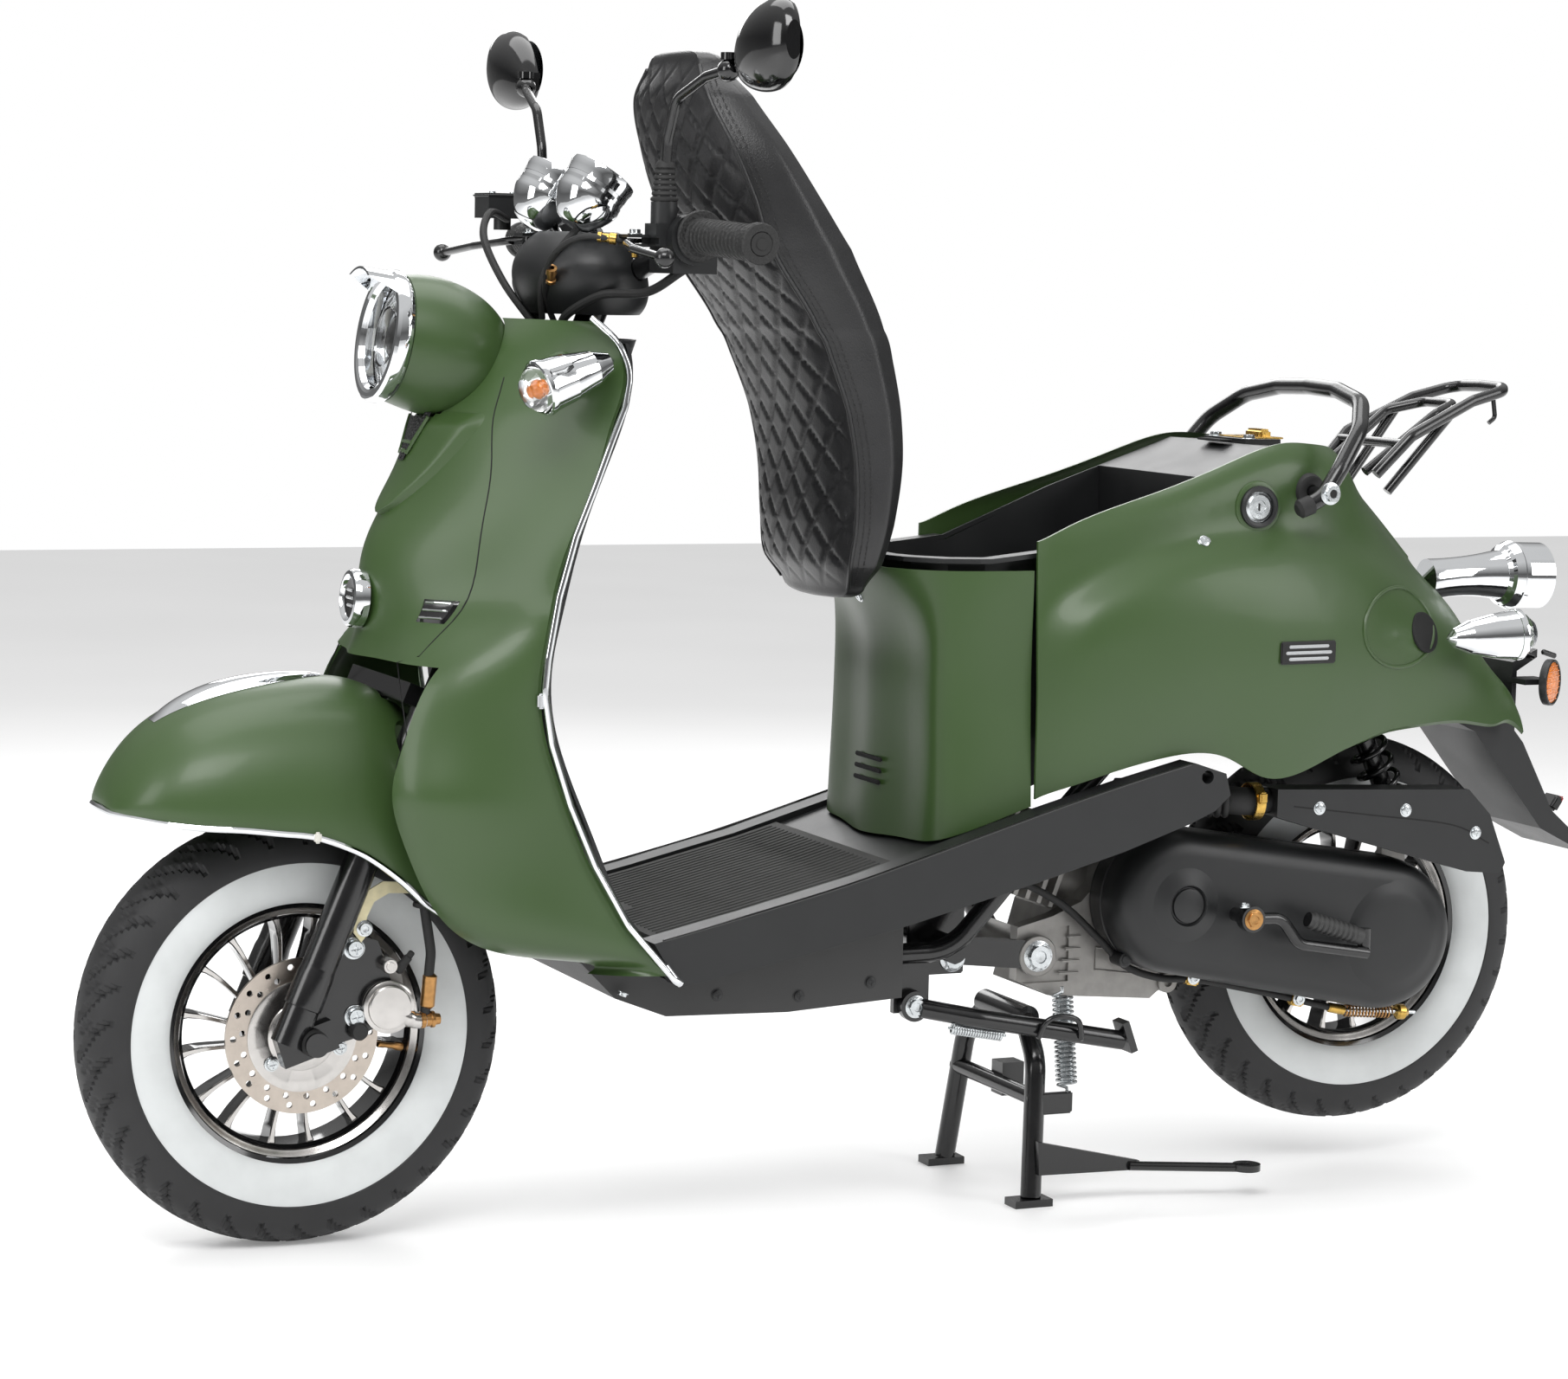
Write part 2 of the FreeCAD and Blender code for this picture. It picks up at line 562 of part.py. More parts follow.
def shield_curve(z, x_mid, x_side, half_w, x_edge, inset):
    pts = []
    for y, x in ((half_w, x_edge), (100, x_side), (38, x_mid - 9), (0, x_mid), (-38, x_mid - 9), (-100, x_side),
                 (-half_w, x_edge)):
        pts.append((x - inset, y * (1 - 0.2 * inset / half_w), z))
    return pts


shield_skin = sheet_loft("shield_skin", [(shield_curve(*row, 0.0), shield_curve(*row, SHELL_T)) for row in SHIELD])
wheel_arch = box("wheel_arch", (520, 0, 425), ("400", "302", "330"))

LAMP_AXIS = V(math.cos(math.radians(9)), 0, math.sin(math.radians(9)))
LAMP_UP = V(-LAMP_AXIS.z, 0, LAMP_AXIS.x)
LAMP_CENTRE = V(542, 0, 903)


def lamp_ring(back, half_w, half_h, drop, grow=0.0):
    middle = LAMP_CENTRE - LAMP_AXIS * back - LAMP_UP * drop
    return [xyz(middle + Y_AXIS * ((half_w + grow) * math.cos(t * math.pi / 8))
                + LAMP_UP * ((half_h + grow) * math.sin(t * math.pi / 8))) for t in range(16)]


NACELLE = [(0, 63, 63, 0), (30, 68, 68, 1), (62, 69, 66, 4), (90, 62, 57, 8), (108, 50, 45, 14)]
nacelle_outer = closed_loft("nacelle_outer", [lamp_ring(*row) for row in NACELLE])
nacelle_room = closed_loft("nacelle_room", [lamp_ring(b - 1 if b == 0 else b, w - 3.5, h_ - 3.5, d)
                                            for b, w, h_, d in NACELLE[:-1]] + [lamp_ring(104, 44, 40, 14)])
as_node(minus("headlight_shell", nacelle_outer, [nacelle_room]), "headlight_shell")

nacelle_way = closed_loft("nacelle_way", [lamp_ring(b - 30 if b == 0 else b, w, h_, d, 0.6)
                                          for b, w, h_, d in NACELLE[:-1]] + [lamp_ring(112, 52, 47, 14)])
head_tube_way = cylinder("head_tube_way", xyz(on_steering_axis(570)), xyz(STEER_UP), "head_tube_r+2", 420)
stalk_ways = [cylinder("stalk_way", (418.9, side * 165 - 35, 877.1), (0, 1, 0), "9.6", "70") for side in (1, -1)]
as_node(minus("leg_shield", shield_skin, [nacelle_way, head_tube_way, wheel_arch] + stalk_ways), "leg_shield")

bezel_ring = turned("bezel_ring", [("53", "0.3"), ("lamp_r-1", "0.3"), ("lamp_r+3", "8"), ("lamp_r", "16"),
                                   ("55", "18"), ("52", "12")], xyz(LAMP_CENTRE), xyz(LAMP_AXIS))
visor_outer = cylinder("visor_outer", xyz(LAMP_CENTRE + LAMP_AXIS * 4), xyz(LAMP_AXIS), "lamp_r+1", "42")
visor_inner = cylinder("visor_inner", xyz(LAMP_CENTRE + LAMP_AXIS * 2), xyz(LAMP_AXIS), "lamp_r-1.5", "50")
visor_cut = box("visor_cut", xyz(LAMP_CENTRE + LAMP_AXIS * 62 - LAMP_UP * 10), ("120", "160", "132"), -33)
visor = minus("visor", visor_outer, [visor_inner, visor_cut])
as_node(fused("headlight_bezel", [bezel_ring, visor]), "headlight_bezel")
as_node(turned("headlight_lens", [("0", "12"), ("30", "10"), ("51.5", "2"), ("51.5", "-2"), ("48", "-2"),
                                  ("28", "6"), ("0", "8")], xyz(LAMP_CENTRE), xyz(LAMP_AXIS)), "headlight_lens")

INNER = [
    # z, x at the edge, rearmost x of the middle column
    (330, 352, 344), (400, 392, 374), (480, 426, 396), (565, 448, 400), (640, 438, 392), (720, 418, 362),
    (800, 388, 330), (860, 370, 312), (905, 374, 298),
]


def inner_curve(z, x_edge, x_mid, inset):
    return [(x_edge - 6 - inset, 183, z), (x_edge - 14 - inset, 120, z),
            ((x_edge + x_mid) / 2 - 8 - inset, 64, z), (x_mid - inset, 26, z), (x_mid - inset, -26, z),
            ((x_edge + x_mid) / 2 - 8 - inset, -64, z), (x_edge - 14 - inset, -120, z), (x_edge - 6 - inset, -183, z)]


inner_skin = sheet_loft("inner_skin", [(inner_curve(*row, 0.0), inner_curve(*row, SHELL_T)) for row in INNER])
column_way = cylinder("inner_column_way", xyz(on_steering_axis(560)), xyz(STEER_UP), "head_tube_r+2", 460)
tube_way = tube("inner_tube_way", [(440, 0, 640), (400, 0, 520), (352, 0, 380), (300, 0, 290), (120, 0, 276)], "21", 80)
key_way = cylinder("key_way", (290, -58, 850), (1, 0, 0.0), "13.05", "90")
as_node(minus("inner_shield", inner_skin, [column_way, tube_way, key_way]), "inner_shield")
as_node(cylinder("ignition_barrel", (304, -58, 850), (1, 0, 0), "13", "46"), "ignition_barrel")

edge_strip = tube("edge_strip", [(397, 168, 929), (377, 189, 906), (366, 194, 877), (372, 196, 844), (385, 196, 811),
                                 (402, 196, 765), (420, 195, 719), (436, 194, 660), (446, 194, 602), (449, 194, 568),
                                 (441, 194, 518), (421, 194, 458), (394, 194, 397), (358, 194, 336),
                                 (308, 194, 280)], "3.4", 40)
badge_ring = turned("badge_ring", [("0", "0"), ("28", "0"), ("28", "4"), ("24", "6"), ("20", "4"), ("0", "5")],
                    (575, 0, 645), (1, 0, 0.08))
as_node(separate("shield_trim", [edge_strip, mirrored("edge_strip_right", edge_strip), badge_ring]), "shield_trim")

# ---------------------------------------------------------------- turn signals

SIGNALS = [((462, 205, 862), (-1, -0.12, 0.35)), ((-672, 178, 604), (1, -0.12, -0.05))]
signal_cups, signal_caps = [], []
for at, back in SIGNALS:
    axis = V(*back).normalize()
    cup = turned("signal_cup", [("0", "84"), ("10", "76"), ("18", "58"), ("signal_r-3", "30"), ("signal_r", "0"),
                                ("signal_r-3", "0"), ("signal_r-6", "30"), ("0", "66")], at, xyz(axis))
    stalk_to = V(at[0], at[1], at[2]) + axis * 46
    stalk = cylinder("signal_stalk", (stalk_to.x, 140, stalk_to.z), (0, 1, 0), "9", at[1] - 152)
    signal_cups.append(fused("signal_housing", [cup, stalk]))
    signal_caps.append(turned("signal_cap", [("0", "-20"), ("14", "-17"), ("23", "-7"), ("signal_r-0.3", "-0.4"),
                                             ("0", "-0.4")], at, xyz(axis)))
as_node(separate("signal_housings", signal_cups + [mirrored("signal_right", s) for s in signal_cups]),
        "signal_housings")
as_node(separate("signal_lenses", signal_caps + [mirrored("cap_right", s) for s in signal_caps]), "signal_lenses")

# ---------------------------------------------------------------- floor

RAIL = [(328, 316), (222, 340), (100, 370), (0, 400), (-95, 429), (-195, 457), (-275, 477), (-312, 465), (-318, 442),
        (-300, 426), (-270, 413), (-194, 387), (-95, 359), (52, 321), (194, 291), (300, 271)]
rail_left = prism("rail_left", RAIL, num("rail_half_w-rail_w"), num("rail_half_w"))
rail_right = mirrored("rail_right", rail_left)
FLOOR_TOP = [(326, 309), (222, 333), (100, 363), (46, 379), (-60, 413)]
deck = prism("floor_deck", FLOOR_TOP + [(x, z - 7) for x, z in FLOOR_TOP[::-1]], -160, 160)
deck_way = tube("deck_way", [(440, 0, 640), (400, 0, 520), (352, 0, 380), (300, 0, 290), (120, 0, 276)], "20.5", 80)
rail_hole = cylinder("rail_hole", (-290, 100, 462), (0, 1, 0), "7", "120")
floor_sum = fused("floor_sum", [rail_left, rail_right, deck])
as_node(minus("floorboard", floor_sum, [deck_way, rail_hole]), "floorboard")
MAT_TOP = [(314, 312 + num("mat_t")), (222, 333 + num("mat_t")), (100, 363 + num("mat_t")),
           (52, 377 + num("mat_t"))]
MAT_LOW = [(52, 377.6), (100, 363.3), (222, 333.3), (314, 312.3)]
mat_way = tube("mat_way", [(440, 0, 640), (400, 0, 520), (352, 0, 380), (300, 0, 290), (120, 0, 276)], "20.5", 80)
as_node(minus("floor_mat", prism("mat_slab", MAT_TOP + MAT_LOW, -150, 150), [mat_way]), "floor_mat")
BELLY = [(386, 291), (350, 254), (295, 233), (162, 230), (34, 238), (34, 322), (120, 301), (290, 268), (360, 300)]
BELLY_ROOM = [(352, 280), (340, 258), (292, 238), (162, 235), (20, 243), (20, 340), (120, 320), (290, 290)]
belly_outer = prism("belly_outer", BELLY, -140, 140)
belly_room = prism("belly_room", BELLY_ROOM, -136, 136)
belly_tube_way = tube("belly_tube_way", [(440, 0, 640), (400, 0, 520), (352, 0, 380), (300, 0, 290), (120, 0, 276)],
                      "21", 80)
as_node(minus("belly_cover", belly_outer, [belly_room, belly_tube_way]), "belly_cover")

# ---------------------------------------------------------------- rear body

COLUMN = [
    # z, front x, half width
    (372, 22, 150), (430, 16, 149), (500, 12, 144), (560, 12, 141), (610, 16, 141), (650, 34, 142), (676, 46, 142),
]


def column_curve(z, x_front, half_w, inset):
    w = half_w - inset
    return [(-104, w, z), (-52, w, z), (-4, w * 0.93 - 3, z), (x_front - 10 - inset, w * 0.52, z),
            (x_front - inset, 0, z), (x_front - 10 - inset, -w * 0.52, z), (-4, -w * 0.93 + 3, z), (-52, -w, z),
            (-104, -w, z)]


column_skin = sheet_loft("column_skin", [(column_curve(*row, 0.0), column_curve(*row, SHELL_T)) for row in COLUMN])
column_foot = prism("column_foot", [(330, 280), (330, 312), (100, 366.5), (20, 391.5), (-95, 429.5), (-130, 440),
                                    (-130, 280)], -200, 200)
as_node(minus("body_column", column_skin, [column_foot]), "body_column")

SIDE = [
    # x, then (y, z) down the panel: rim, shoulder, foot of the arch, crest of the arch, bulge, flank, lower edge
    (-107, (143, 706), (144, 670), (147, 620), (149, 590), (151, 560), (152, 500), (152, 440)),
    (-125, (142, 713), (145, 682), (149, 643), (158, 616), (164, 570), (163, 510), (158, 448)),
    (-145, (141, 722), (147, 692), (151, 658), (167, 628), (174, 580), (172, 520), (165, 455)),
    (-180, (139, 735), (149, 706), (153, 678), (172, 648), (181, 592), (178, 530), (170, 466)),
    (-249, (136, 756), (151, 728), (154, 705), (174, 675), (187, 612), (184, 545), (172, 482)),
    (-330, (131, 784), (148, 747), (150, 720), (169, 690), (187, 622), (184, 550), (171, 476)),
    (-365, (128, 797), (146, 752), (148, 721), (165, 693), (186, 624), (183, 547), (169, 458)),
    (-400, (124, 806), (144, 756), (146, 721), (161, 695), (183, 625), (180, 546), (166, 456)),
    (-440, (114, 806), (140, 752), (143, 715), (156, 692), (178, 620), (176, 548), (160, 468)),
    (-470, (98, 803), (133, 745), (139, 707), (151, 687), (173, 612), (170, 547), (156, 480)),
    (-500, (68, 796), (119, 734), (131, 698), (144, 679), (167, 604), (164, 548), (152, 490)),
    (-530, (34, 777), (99, 718), (119, 687), (133, 670), (158, 598), (156, 548), (147, 499)),
    (-562, (14, 752), (80, 700), (105, 673), (120, 657), (148, 590), (147, 546), (141, 503)),
    (-600, (4, 719), (63, 675), (89, 655), (104, 641), (136, 580), (135, 542), (132, 505)),
    (-650, (0.6, 668), (47, 640), (70, 626), (84, 615), (116, 564), (117, 535), (118, 504)),
    (-700, (0.6, 606), (36, 590), (53, 580), (65, 572), (94, 542), (99, 522), (104, 498)),
    (-745, (0.6, 544), (28, 536), (40, 530), (50, 524), (76, 509), (84, 499), (90, 486)),
]


def side_curve(x, *down, inset):
    """One section of the panel; towards the tail the skin thickness turns from sideways to downward."""
    drop = inset * min(max((-x - 440) / 100.0, 0.0), 1.0)
    return [(x, max(y - inset, 0.6), z - drop) for y, z in down]


side_skin = sheet_loft("side_skin", [(side_curve(*row, inset=0.0), side_curve(*row, inset=SHELL_T)) for row in SIDE])
lock_way = cylinder("lock_way", (-362, 110, 741), (0, 1, 0), "16.2", "60")
middle_way = box("middle_way", (-640, -60, 640), ("420", "120.6", "420"))
tail_way = cylinder("tail_way", (-636, 0, 648.5), (-1, 0, 0.03), "26", "130")
side_trimmed = minus("side_trimmed", side_skin, [middle_way, tail_way])
as_node(minus("side_left_skin", side_trimmed, [lock_way]), "side_panel_left")
as_node(mirrored("side_right_skin", side_trimmed), "side_panel_right")
as_node(cylinder("lock_barrel", (-362, 118, 741), (0, 1, 0), "16", "32"), "lock_barrel")

BUCKET = [(20, 684), (-60, 684), (-125, 690), (-249, 744), (-316, 768), (-316, 700), (-292, 500), (-24, 500),
          (-12, 560), (-4, 620)]
BUCKET_ROOM = [(14, 700), (-60, 700), (-125, 712), (-249, 762), (-311, 790), (-311, 700), (-288, 505), (-28, 505),
               (-17, 562), (-9, 622)]


def bucket_plan(name, half_w, front, rear):
    """A column with the rounded plan outline of the bucket, taller than the bucket."""
    outline = rear + [(front - 84, -half_w), (front - 46, -half_w * 0.92), (front - 18, -half_w * 0.66),
               (front, -half_w * 0.2)]
    outline += [(x, -y) for x, y in outline[::-1]]
    wire = Part.makePolygon([V(x, y, 480) for x, y in outline + outline[:1]])
    return feature(name, Part.Face(wire).extrude(V(0, 0, 360)))


def common(name, first, second):
    obj = doc.addObject("Part::Common", name)
    obj.Base = first
    obj.Tool = second
    return obj


bucket_outer = common("bucket_outer", prism("bucket_side", BUCKET, -116, 116),
                      bucket_plan("plan_out", 116, 24, [(-317, -116)]))
bucket_room = common("bucket_room", prism("bucket_room_side", BUCKET_ROOM, -112, 112),
                     bucket_plan("plan_in", 112, 20, [(-312, -112)]))
LIP = [(30, 688), (-60, 688), (-122, 695), (-249, 748), (-400, 802), (-455, 800), (-455, 796), (-400, 797),
       (-249, 743), (-122, 690), (-60, 683), (30, 683)]
lip = common("bucket_lip", prism("lip_side", LIP, -119, 119),
             bucket_plan("plan_lip_side", 118, 32, [(-460, -78), (-436, -100), (-404, -113)]))
lip_front = common("bucket_lip_front",
                   prism("lip_front_side", [(30, 688), (-60, 688), (-122, 695), (-122, 690), (-60, 683), (30, 683)],
                         -134, 134), bucket_plan("plan_lip", 134, 38, [(-317, -134)]))
catch_pad = box("catch_pad", (-426, 0, 800), ("44", "90", "14"))
bucket_sum = fused("bucket_sum", [bucket_outer, lip, lip_front, catch_pad])
as_node(minus("storage_bucket", bucket_sum, [bucket_room]), "storage_bucket")

hoop_half = [(-402, 172, 741), (-425, 174, 752), (-446, 172, 782), (-476, 160, 822), (-500, 122, 850),
             (-508, 60, 861), (-508, 0, 863)]
hoop = tube("hoop", hoop_half + [(x, -y, z) for x, y, z in hoop_half[-2::-1]], "hoop_r", 40)
hoop_studs = [cylinder("hoop_stud", (-428, side * 168 - 22, 757), (0, 1, 0), "6", "44") for side in (1, -1)]
as_node(fused("grab_rail", [hoop] + hoop_studs), "grab_rail")

rack_half = [(-560, 60, 770), (-600, 66, 812), (-680, 60, 850), (-722, 55, 861), (-732, 40, 864), (-732, 0, 865)]
rack_outer = tube("rack_outer", rack_half + [(x, -y, z) for x, y, z in rack_half[-2::-1]], "rack_r", 16)
rack_inner = tube("rack_inner", [(-556, 44, 772), (-640, 50, 836), (-676, 30, 846), (-676, -30, 846),
                                 (-640, -50, 836), (-556, -44, 772)], "rack_r-1", 16)
rack_struts = [tube("rack_strut", [(-584, side * 46, 750), (-660, side * 58, 842)], "rack_r-1") for side in (1, -1)]
rack_bar = cylinder("rack_bar", (-590, -64, 803), (0, 1, 0), "rack_r-1", "128")
rack_hook = tube("rack_hook", [(-712, 52, 858), (-716, 52, 832), (-708, 52, 826)], "2.5", 6)
as_node(fused("luggage_rack", [rack_outer, rack_inner, rack_bar, rack_hook] + rack_struts), "luggage_rack")

TAIL_AXIS = V(-1, 0, -0.02)
tail_shroud = turned("tail_shroud", [("tail_r-11", "0"), ("tail_r-3", "10"), ("tail_r", "26"), ("tail_r", "58"),
                                     ("tail_r-2", "58"), ("tail_r-3", "26"), ("tail_r-13", "4"), ("0", "4"),
                                     ("0", "0")], (-758, 0, 653), xyz(TAIL_AXIS))
tail_stalk = closed_loft("tail_stalk", [
    [(-668, 22 * math.cos(t * math.pi / 8), 648 + 24 * math.sin(t * math.pi / 8)) for t in range(16)],
    [(-712, 20 * math.cos(t * math.pi / 8), 652 + 22 * math.sin(t * math.pi / 8)) for t in range(16)],
    [(-760, 28 * math.cos(t * math.pi / 8), 653 + 28 * math.sin(t * math.pi / 8)) for t in range(16)],
])
as_node(fused("tail_light_housing", [tail_shroud, tail_stalk]), "tail_light_housing")
as_node(turned("tail_light_lens", [("0", "66"), ("20", "64"), ("tail_r-2.4", "56"), ("tail_r-2.4", "46"),
                                   ("0", "46")], (-758, 0, 653), xyz(TAIL_AXIS)), "tail_light_lens")

FLAP = [(-652, 506), (-700, 484), (-744, 430), (-792, 372), (-836, 350), (-852, 342), (-853, 352), (-806, 392),
        (-764, 470), (-731, 508), (-690, 512)]
FLAP_ROOM = [(-692, 500), (-712, 484), (-752, 436), (-796, 380), (-840, 356), (-800, 392), (-760, 468), (-730, 502)]
flap_outer = prism("flap_outer", FLAP, -62, 62)
flap_room = prism("flap_room", FLAP_ROOM, -58, 58)
plate_arm = prism("plate_arm", [(-750, 560), (-782, 574), (-782, 565), (-756, 550), (-756, 478), (-750, 478)], -56, 56)
reflector_discs = [cylinder("reflector_disc", (-776, side * 84, 540), (-0.6, side * 0.8, 0), "25", "6")
                   for side in (1, -1)]
reflector_arms = [box("reflector_arm", (-766, side * 66, 540), ("34", "34", "6")) for side in (1, -1)]
flap_sum = minus("flap_shell", flap_outer, [flap_room])
as_node(fused("rear_mudguard", [flap_sum, plate_arm] + reflector_arms + reflector_discs), "rear_mudguard")

# ---------------------------------------------------------------- engine unit

pivot_bush = cylinder("pivot_bush", (num("pivot_x"), -56, num("pivot_z")), (0, 1, 0), "22", "112")
side_casting = prism("side_casting", [(-140, 290), (-140, 232), (-180, 214), (-300, 208), (-330, 222), (-330, 300),
                                      (-250, 330), (-180, 300)], 40, 60)
block = prism("block", [(-200, 300), (-176, 215), (-300, 205), (-325, 225), (-335, 300), (-320, 350), (-250, 352)],
              -70, 60)
fins = [box("fin", (-196 + 14 * i, 0, 352 + 5.0 * i), ("5", "104", "92"), -70 + 50) for i in range(6)]
barrel = cylinder("barrel", (-230, 0, 330), (1, 0, 0.36), "34", "120")
gearbox = cylinder("gearbox", (num("rear_axle_x"), 45, num("rear_axle_z")), (0, 1, 0), "50", "16.6")
arm_case = prism("arm_case", [(-300, 380), (-300, 240), (-560, 215), (-610, 260), (-600, 320), (-560, 345)], 50, 61.6)
axle_shaft = cylinder("rear_axle_shaft", (num("rear_axle_x"), -60, num("rear_axle_z")), (0, 1, 0), "axle_r", "122")
shock_lug = box("shock_lug", (-600, 56, 360), ("30", "11", "60"))
shock_pin = cylinder("shock_pin", (-600, 50, 372), (0, 1, 0), "5", "38")
fork_cut = box("hanger_gap", (-160, 62, 259), ("80", "11", "60"))
as_node(minus("crankcase", fused("crankcase_sum", [
    pivot_bush, side_casting, block, barrel, gearbox, arm_case, axle_shaft, shock_lug, shock_pin] + fins),
    [fork_cut]), "crankcase")

cvt_front = cylinder("cvt_front", (num("cvt_front_x"), 62, num("cvt_front_z")), (0, 1, 0), "cvt_front_r", "cvt_depth")
cvt_rear = cylinder("cvt_rear", (num("cvt_rear_x"), 62, num("cvt_rear_z")), (0, 1, 0), "cvt_rear_r", "cvt_depth-8")
cvt_middle = prism("cvt_middle", [(-292, 395.5), (-313, 241.5), (-567, 189.0), (-546, 355.5)], 62, 130)
cvt_boss = cone("cvt_boss", (num("cvt_front_x"), 134, num("cvt_front_z")), (0, 1, 0), "34", "26", "7")
cvt_dome = cone("cvt_dome", (num("cvt_rear_x"), 126, num("cvt_rear_z")), (0, 1, 0), "62", "50", "8")
shaft_hole = cylinder("kick_hole", (num("kick_x"), 100, num("kick_z")), (0, 1, 0), "kick_shaft_r+0.05", "60")
cvt_sum = fused("cvt_sum", [cvt_front, cvt_rear, cvt_middle, cvt_boss, cvt_dome])
as_node(minus("cvt_cover", cvt_sum, [shaft_hole]), "cvt_cover")

kick_shaft = cylinder("kick_shaft", (num("kick_x"), 104, num("kick_z")), (0, 1, 0), "kick_shaft_r", "68")
kick_clamp = cylinder("kick_clamp", (num("kick_x"), 160, num("kick_z")), (0, 1, 0), "14", "13")
kick_arm = tube("kick_arm", [(-360, 166, 306), (-398, 166, 305), (-420, 166, 276), (-505, 166, 262)], "6.5", 22)
kick_tip = cylinder("kick_tip", (-505, 160, 262), (0, 0, 1), "7", "26")
kick_pedal = cylinder("kick_pedal", (-430, 166, 302), (-0.92, 0, -0.3), "8", "70")
as_node(fused("kick_lever", [kick_shaft, kick_clamp, kick_arm, kick_pedal, kick_tip]), "kick_lever")

AIRBOX = [(-400, 440), (-640, 432), (-668, 404), (-690, 350), (-684, 338), (-640, 342), (-440, 398), (-400, 410)]
airbox_case = prism("airbox_case", AIRBOX, 104, 146)
airbox_neck = cylinder("airbox_neck", (-404, 122, 425), (1, 0, 0), "14", "12")
as_node(fused("airbox", [airbox_case, airbox_neck]), "airbox")
hose_rings = [torus("hose_ring", (-378 + 7.5 * i, 121 - 3.4 * i, 425), (1, -0.4, 0), "15", "3.6") for i in range(8)]
hose_core = tube("hose_core", [(-391.7, 122, 425), (-370, 122, 425), (-310, 60, 429), (-270, 24, 426)], "15", 40)
as_node(fused("intake_hose", [hose_core] + hose_rings), "intake_hose")

exhaust = tube("exhaust", [(-152, -67, 376), (-140, -98, 330), (-200, -110, 240), (-330, -112, 222),
                           (-380, -112, 232)], "13", 40)
muffler_can = turned("muffler_can", [("0", "0"), ("20", "0"), ("44", "26"), ("46", "60"), ("46", "240"),
                                     ("38", "268"), ("0", "268")], (-370, -118, 232), (-0.98, -0.04, 0.2))
as_node(fused("muffler", [exhaust, muffler_can]), "muffler")

# ---------------------------------------------------------------- shock absorber

SHOCK_LOW = V(-600, 78, 372)
SHOCK_HIGH = V(-470, 78, 640)
SHOCK_UP = (SHOCK_HIGH - SHOCK_LOW).normalize()
low_eye = cylinder("low_eye", (-600, 72, 372), (0, 1, 0), "13", "12")
low_eye_hole = cylinder("low_eye_hole", (-600, 62, 372), (0, 1, 0), "7.5", "32")
damper = cylinder("damper", xyz(SHOCK_LOW + SHOCK_UP * 11), xyz(SHOCK_UP), "11", "130")
damper_bore = cylinder("damper_bore", xyz(SHOCK_LOW + SHOCK_UP * 24), xyz(SHOCK_UP), "5.05", "130")
low_seat = cylinder("low_seat", xyz(SHOCK_LOW + SHOCK_UP * 34), xyz(SHOCK_UP), "16.5", "4")
as_node(minus("shock_lower", fused("shock_lower_sum", [low_eye, damper, low_seat]), [low_eye_hole, damper_bore]),
        "shock_lower")
rod = cylinder("shock_rod", xyz(SHOCK_HIGH - SHOCK_UP * 210), xyz(SHOCK_UP), "5", "200")
high_eye = cylinder("high_eye", (-470, 72, 640), (0, 1, 0), "13", "12")
high_eye_hole = cylinder("high_eye_hole", (-470, 62, 640), (0, 1, 0), "6", "32")
high_seat = cylinder("high_seat", xyz(SHOCK_HIGH - SHOCK_UP * 24), xyz(SHOCK_UP), "16.5", "8")
as_node(minus("shock_upper", fused("shock_upper_sum", [rod, high_eye, high_seat]), [high_eye_hole]), "shock_upper")


def coil(name, at, up, length, coil_radius, wire_radius, turns):
    """A round-wire coil spring standing at a point."""
    helix = Part.makeHelix(length / turns, length, coil_radius)
    ring = Part.Wire([Part.makeCircle(wire_radius, V(coil_radius, 0, 0), V(0, 1, 0))])
    wound = Part.Wire(helix).makePipeShell([ring], True, True)
    obj = feature(name, wound)
    obj.Placement = FreeCAD.Placement(at, FreeCAD.Rotation(Z_AXIS, up))
    return obj


as_node(coil("shock_spring", SHOCK_LOW + SHOCK_UP * 42, SHOCK_UP, 228, 20.0, 3.2, 11), "shock_spring")

# ---------------------------------------------------------------- stands

stand_tube = cylinder("stand_tube", (num("stand_x"), -52, num("stand_z")), (0, 1, 0), "13", "104")
stand_parts = [stand_tube]
for side in (1, -1):
    stand_parts.append(tube("stand_leg", [(num("stand_x"), side * 44, num("stand_z") - 2), (-152, side * 84, 150),
                                          (-140, side * 104, 8)], "stand_leg_r", 40))
    stand_parts.append(box("stand_foot", (-137, side * 106, 4), ("44", "26", "8")))
stand_parts.append(cylinder("stand_cross", (-147, -94, 112), (0, 1, 0), "9", "188"))
stand_parts.append(box("stand_bumper", (-162, 0, 116), ("26", "26", "36")))
tang_plate = prism("tang_plate", [(-140, 70), (-142, 34), (-262, 32), (-262, 42)], 112, 118)
tang_rod = tube("tang_rod", [(-250, 118, 37), (-330, 136, 34), (-378, 150, 33)], "5", 30)
tang_pad = cylinder("tang_pad", (-376, 148, 30), (0, 0, 1), "15", "7")
stand_gap = [box("stand_engine_gap", (-158, 0, 232), ("60", "140", "29"))]
as_node(minus("centre_stand", fused("stand_sum", stand_parts + [tang_plate, tang_rod, tang_pad]), stand_gap),
        "centre_stand")

prop_eye = cylinder("prop_eye", (5, 103, 222), (0, 1, 0), "16", "10")
prop_tube = tube("prop_tube", [(-2, 113.5, 220), (-56, 132, 210), (-225, 138, 178)], "10", 40)
prop_foot = box("prop_foot", (-229, 138, 183), ("8", "24", "34"), 20)
as_node(fused("side_stand", [prop_eye, prop_tube, prop_foot]), "side_stand")

# ---------------------------------------------------------------- seat, standing open on its front hinge

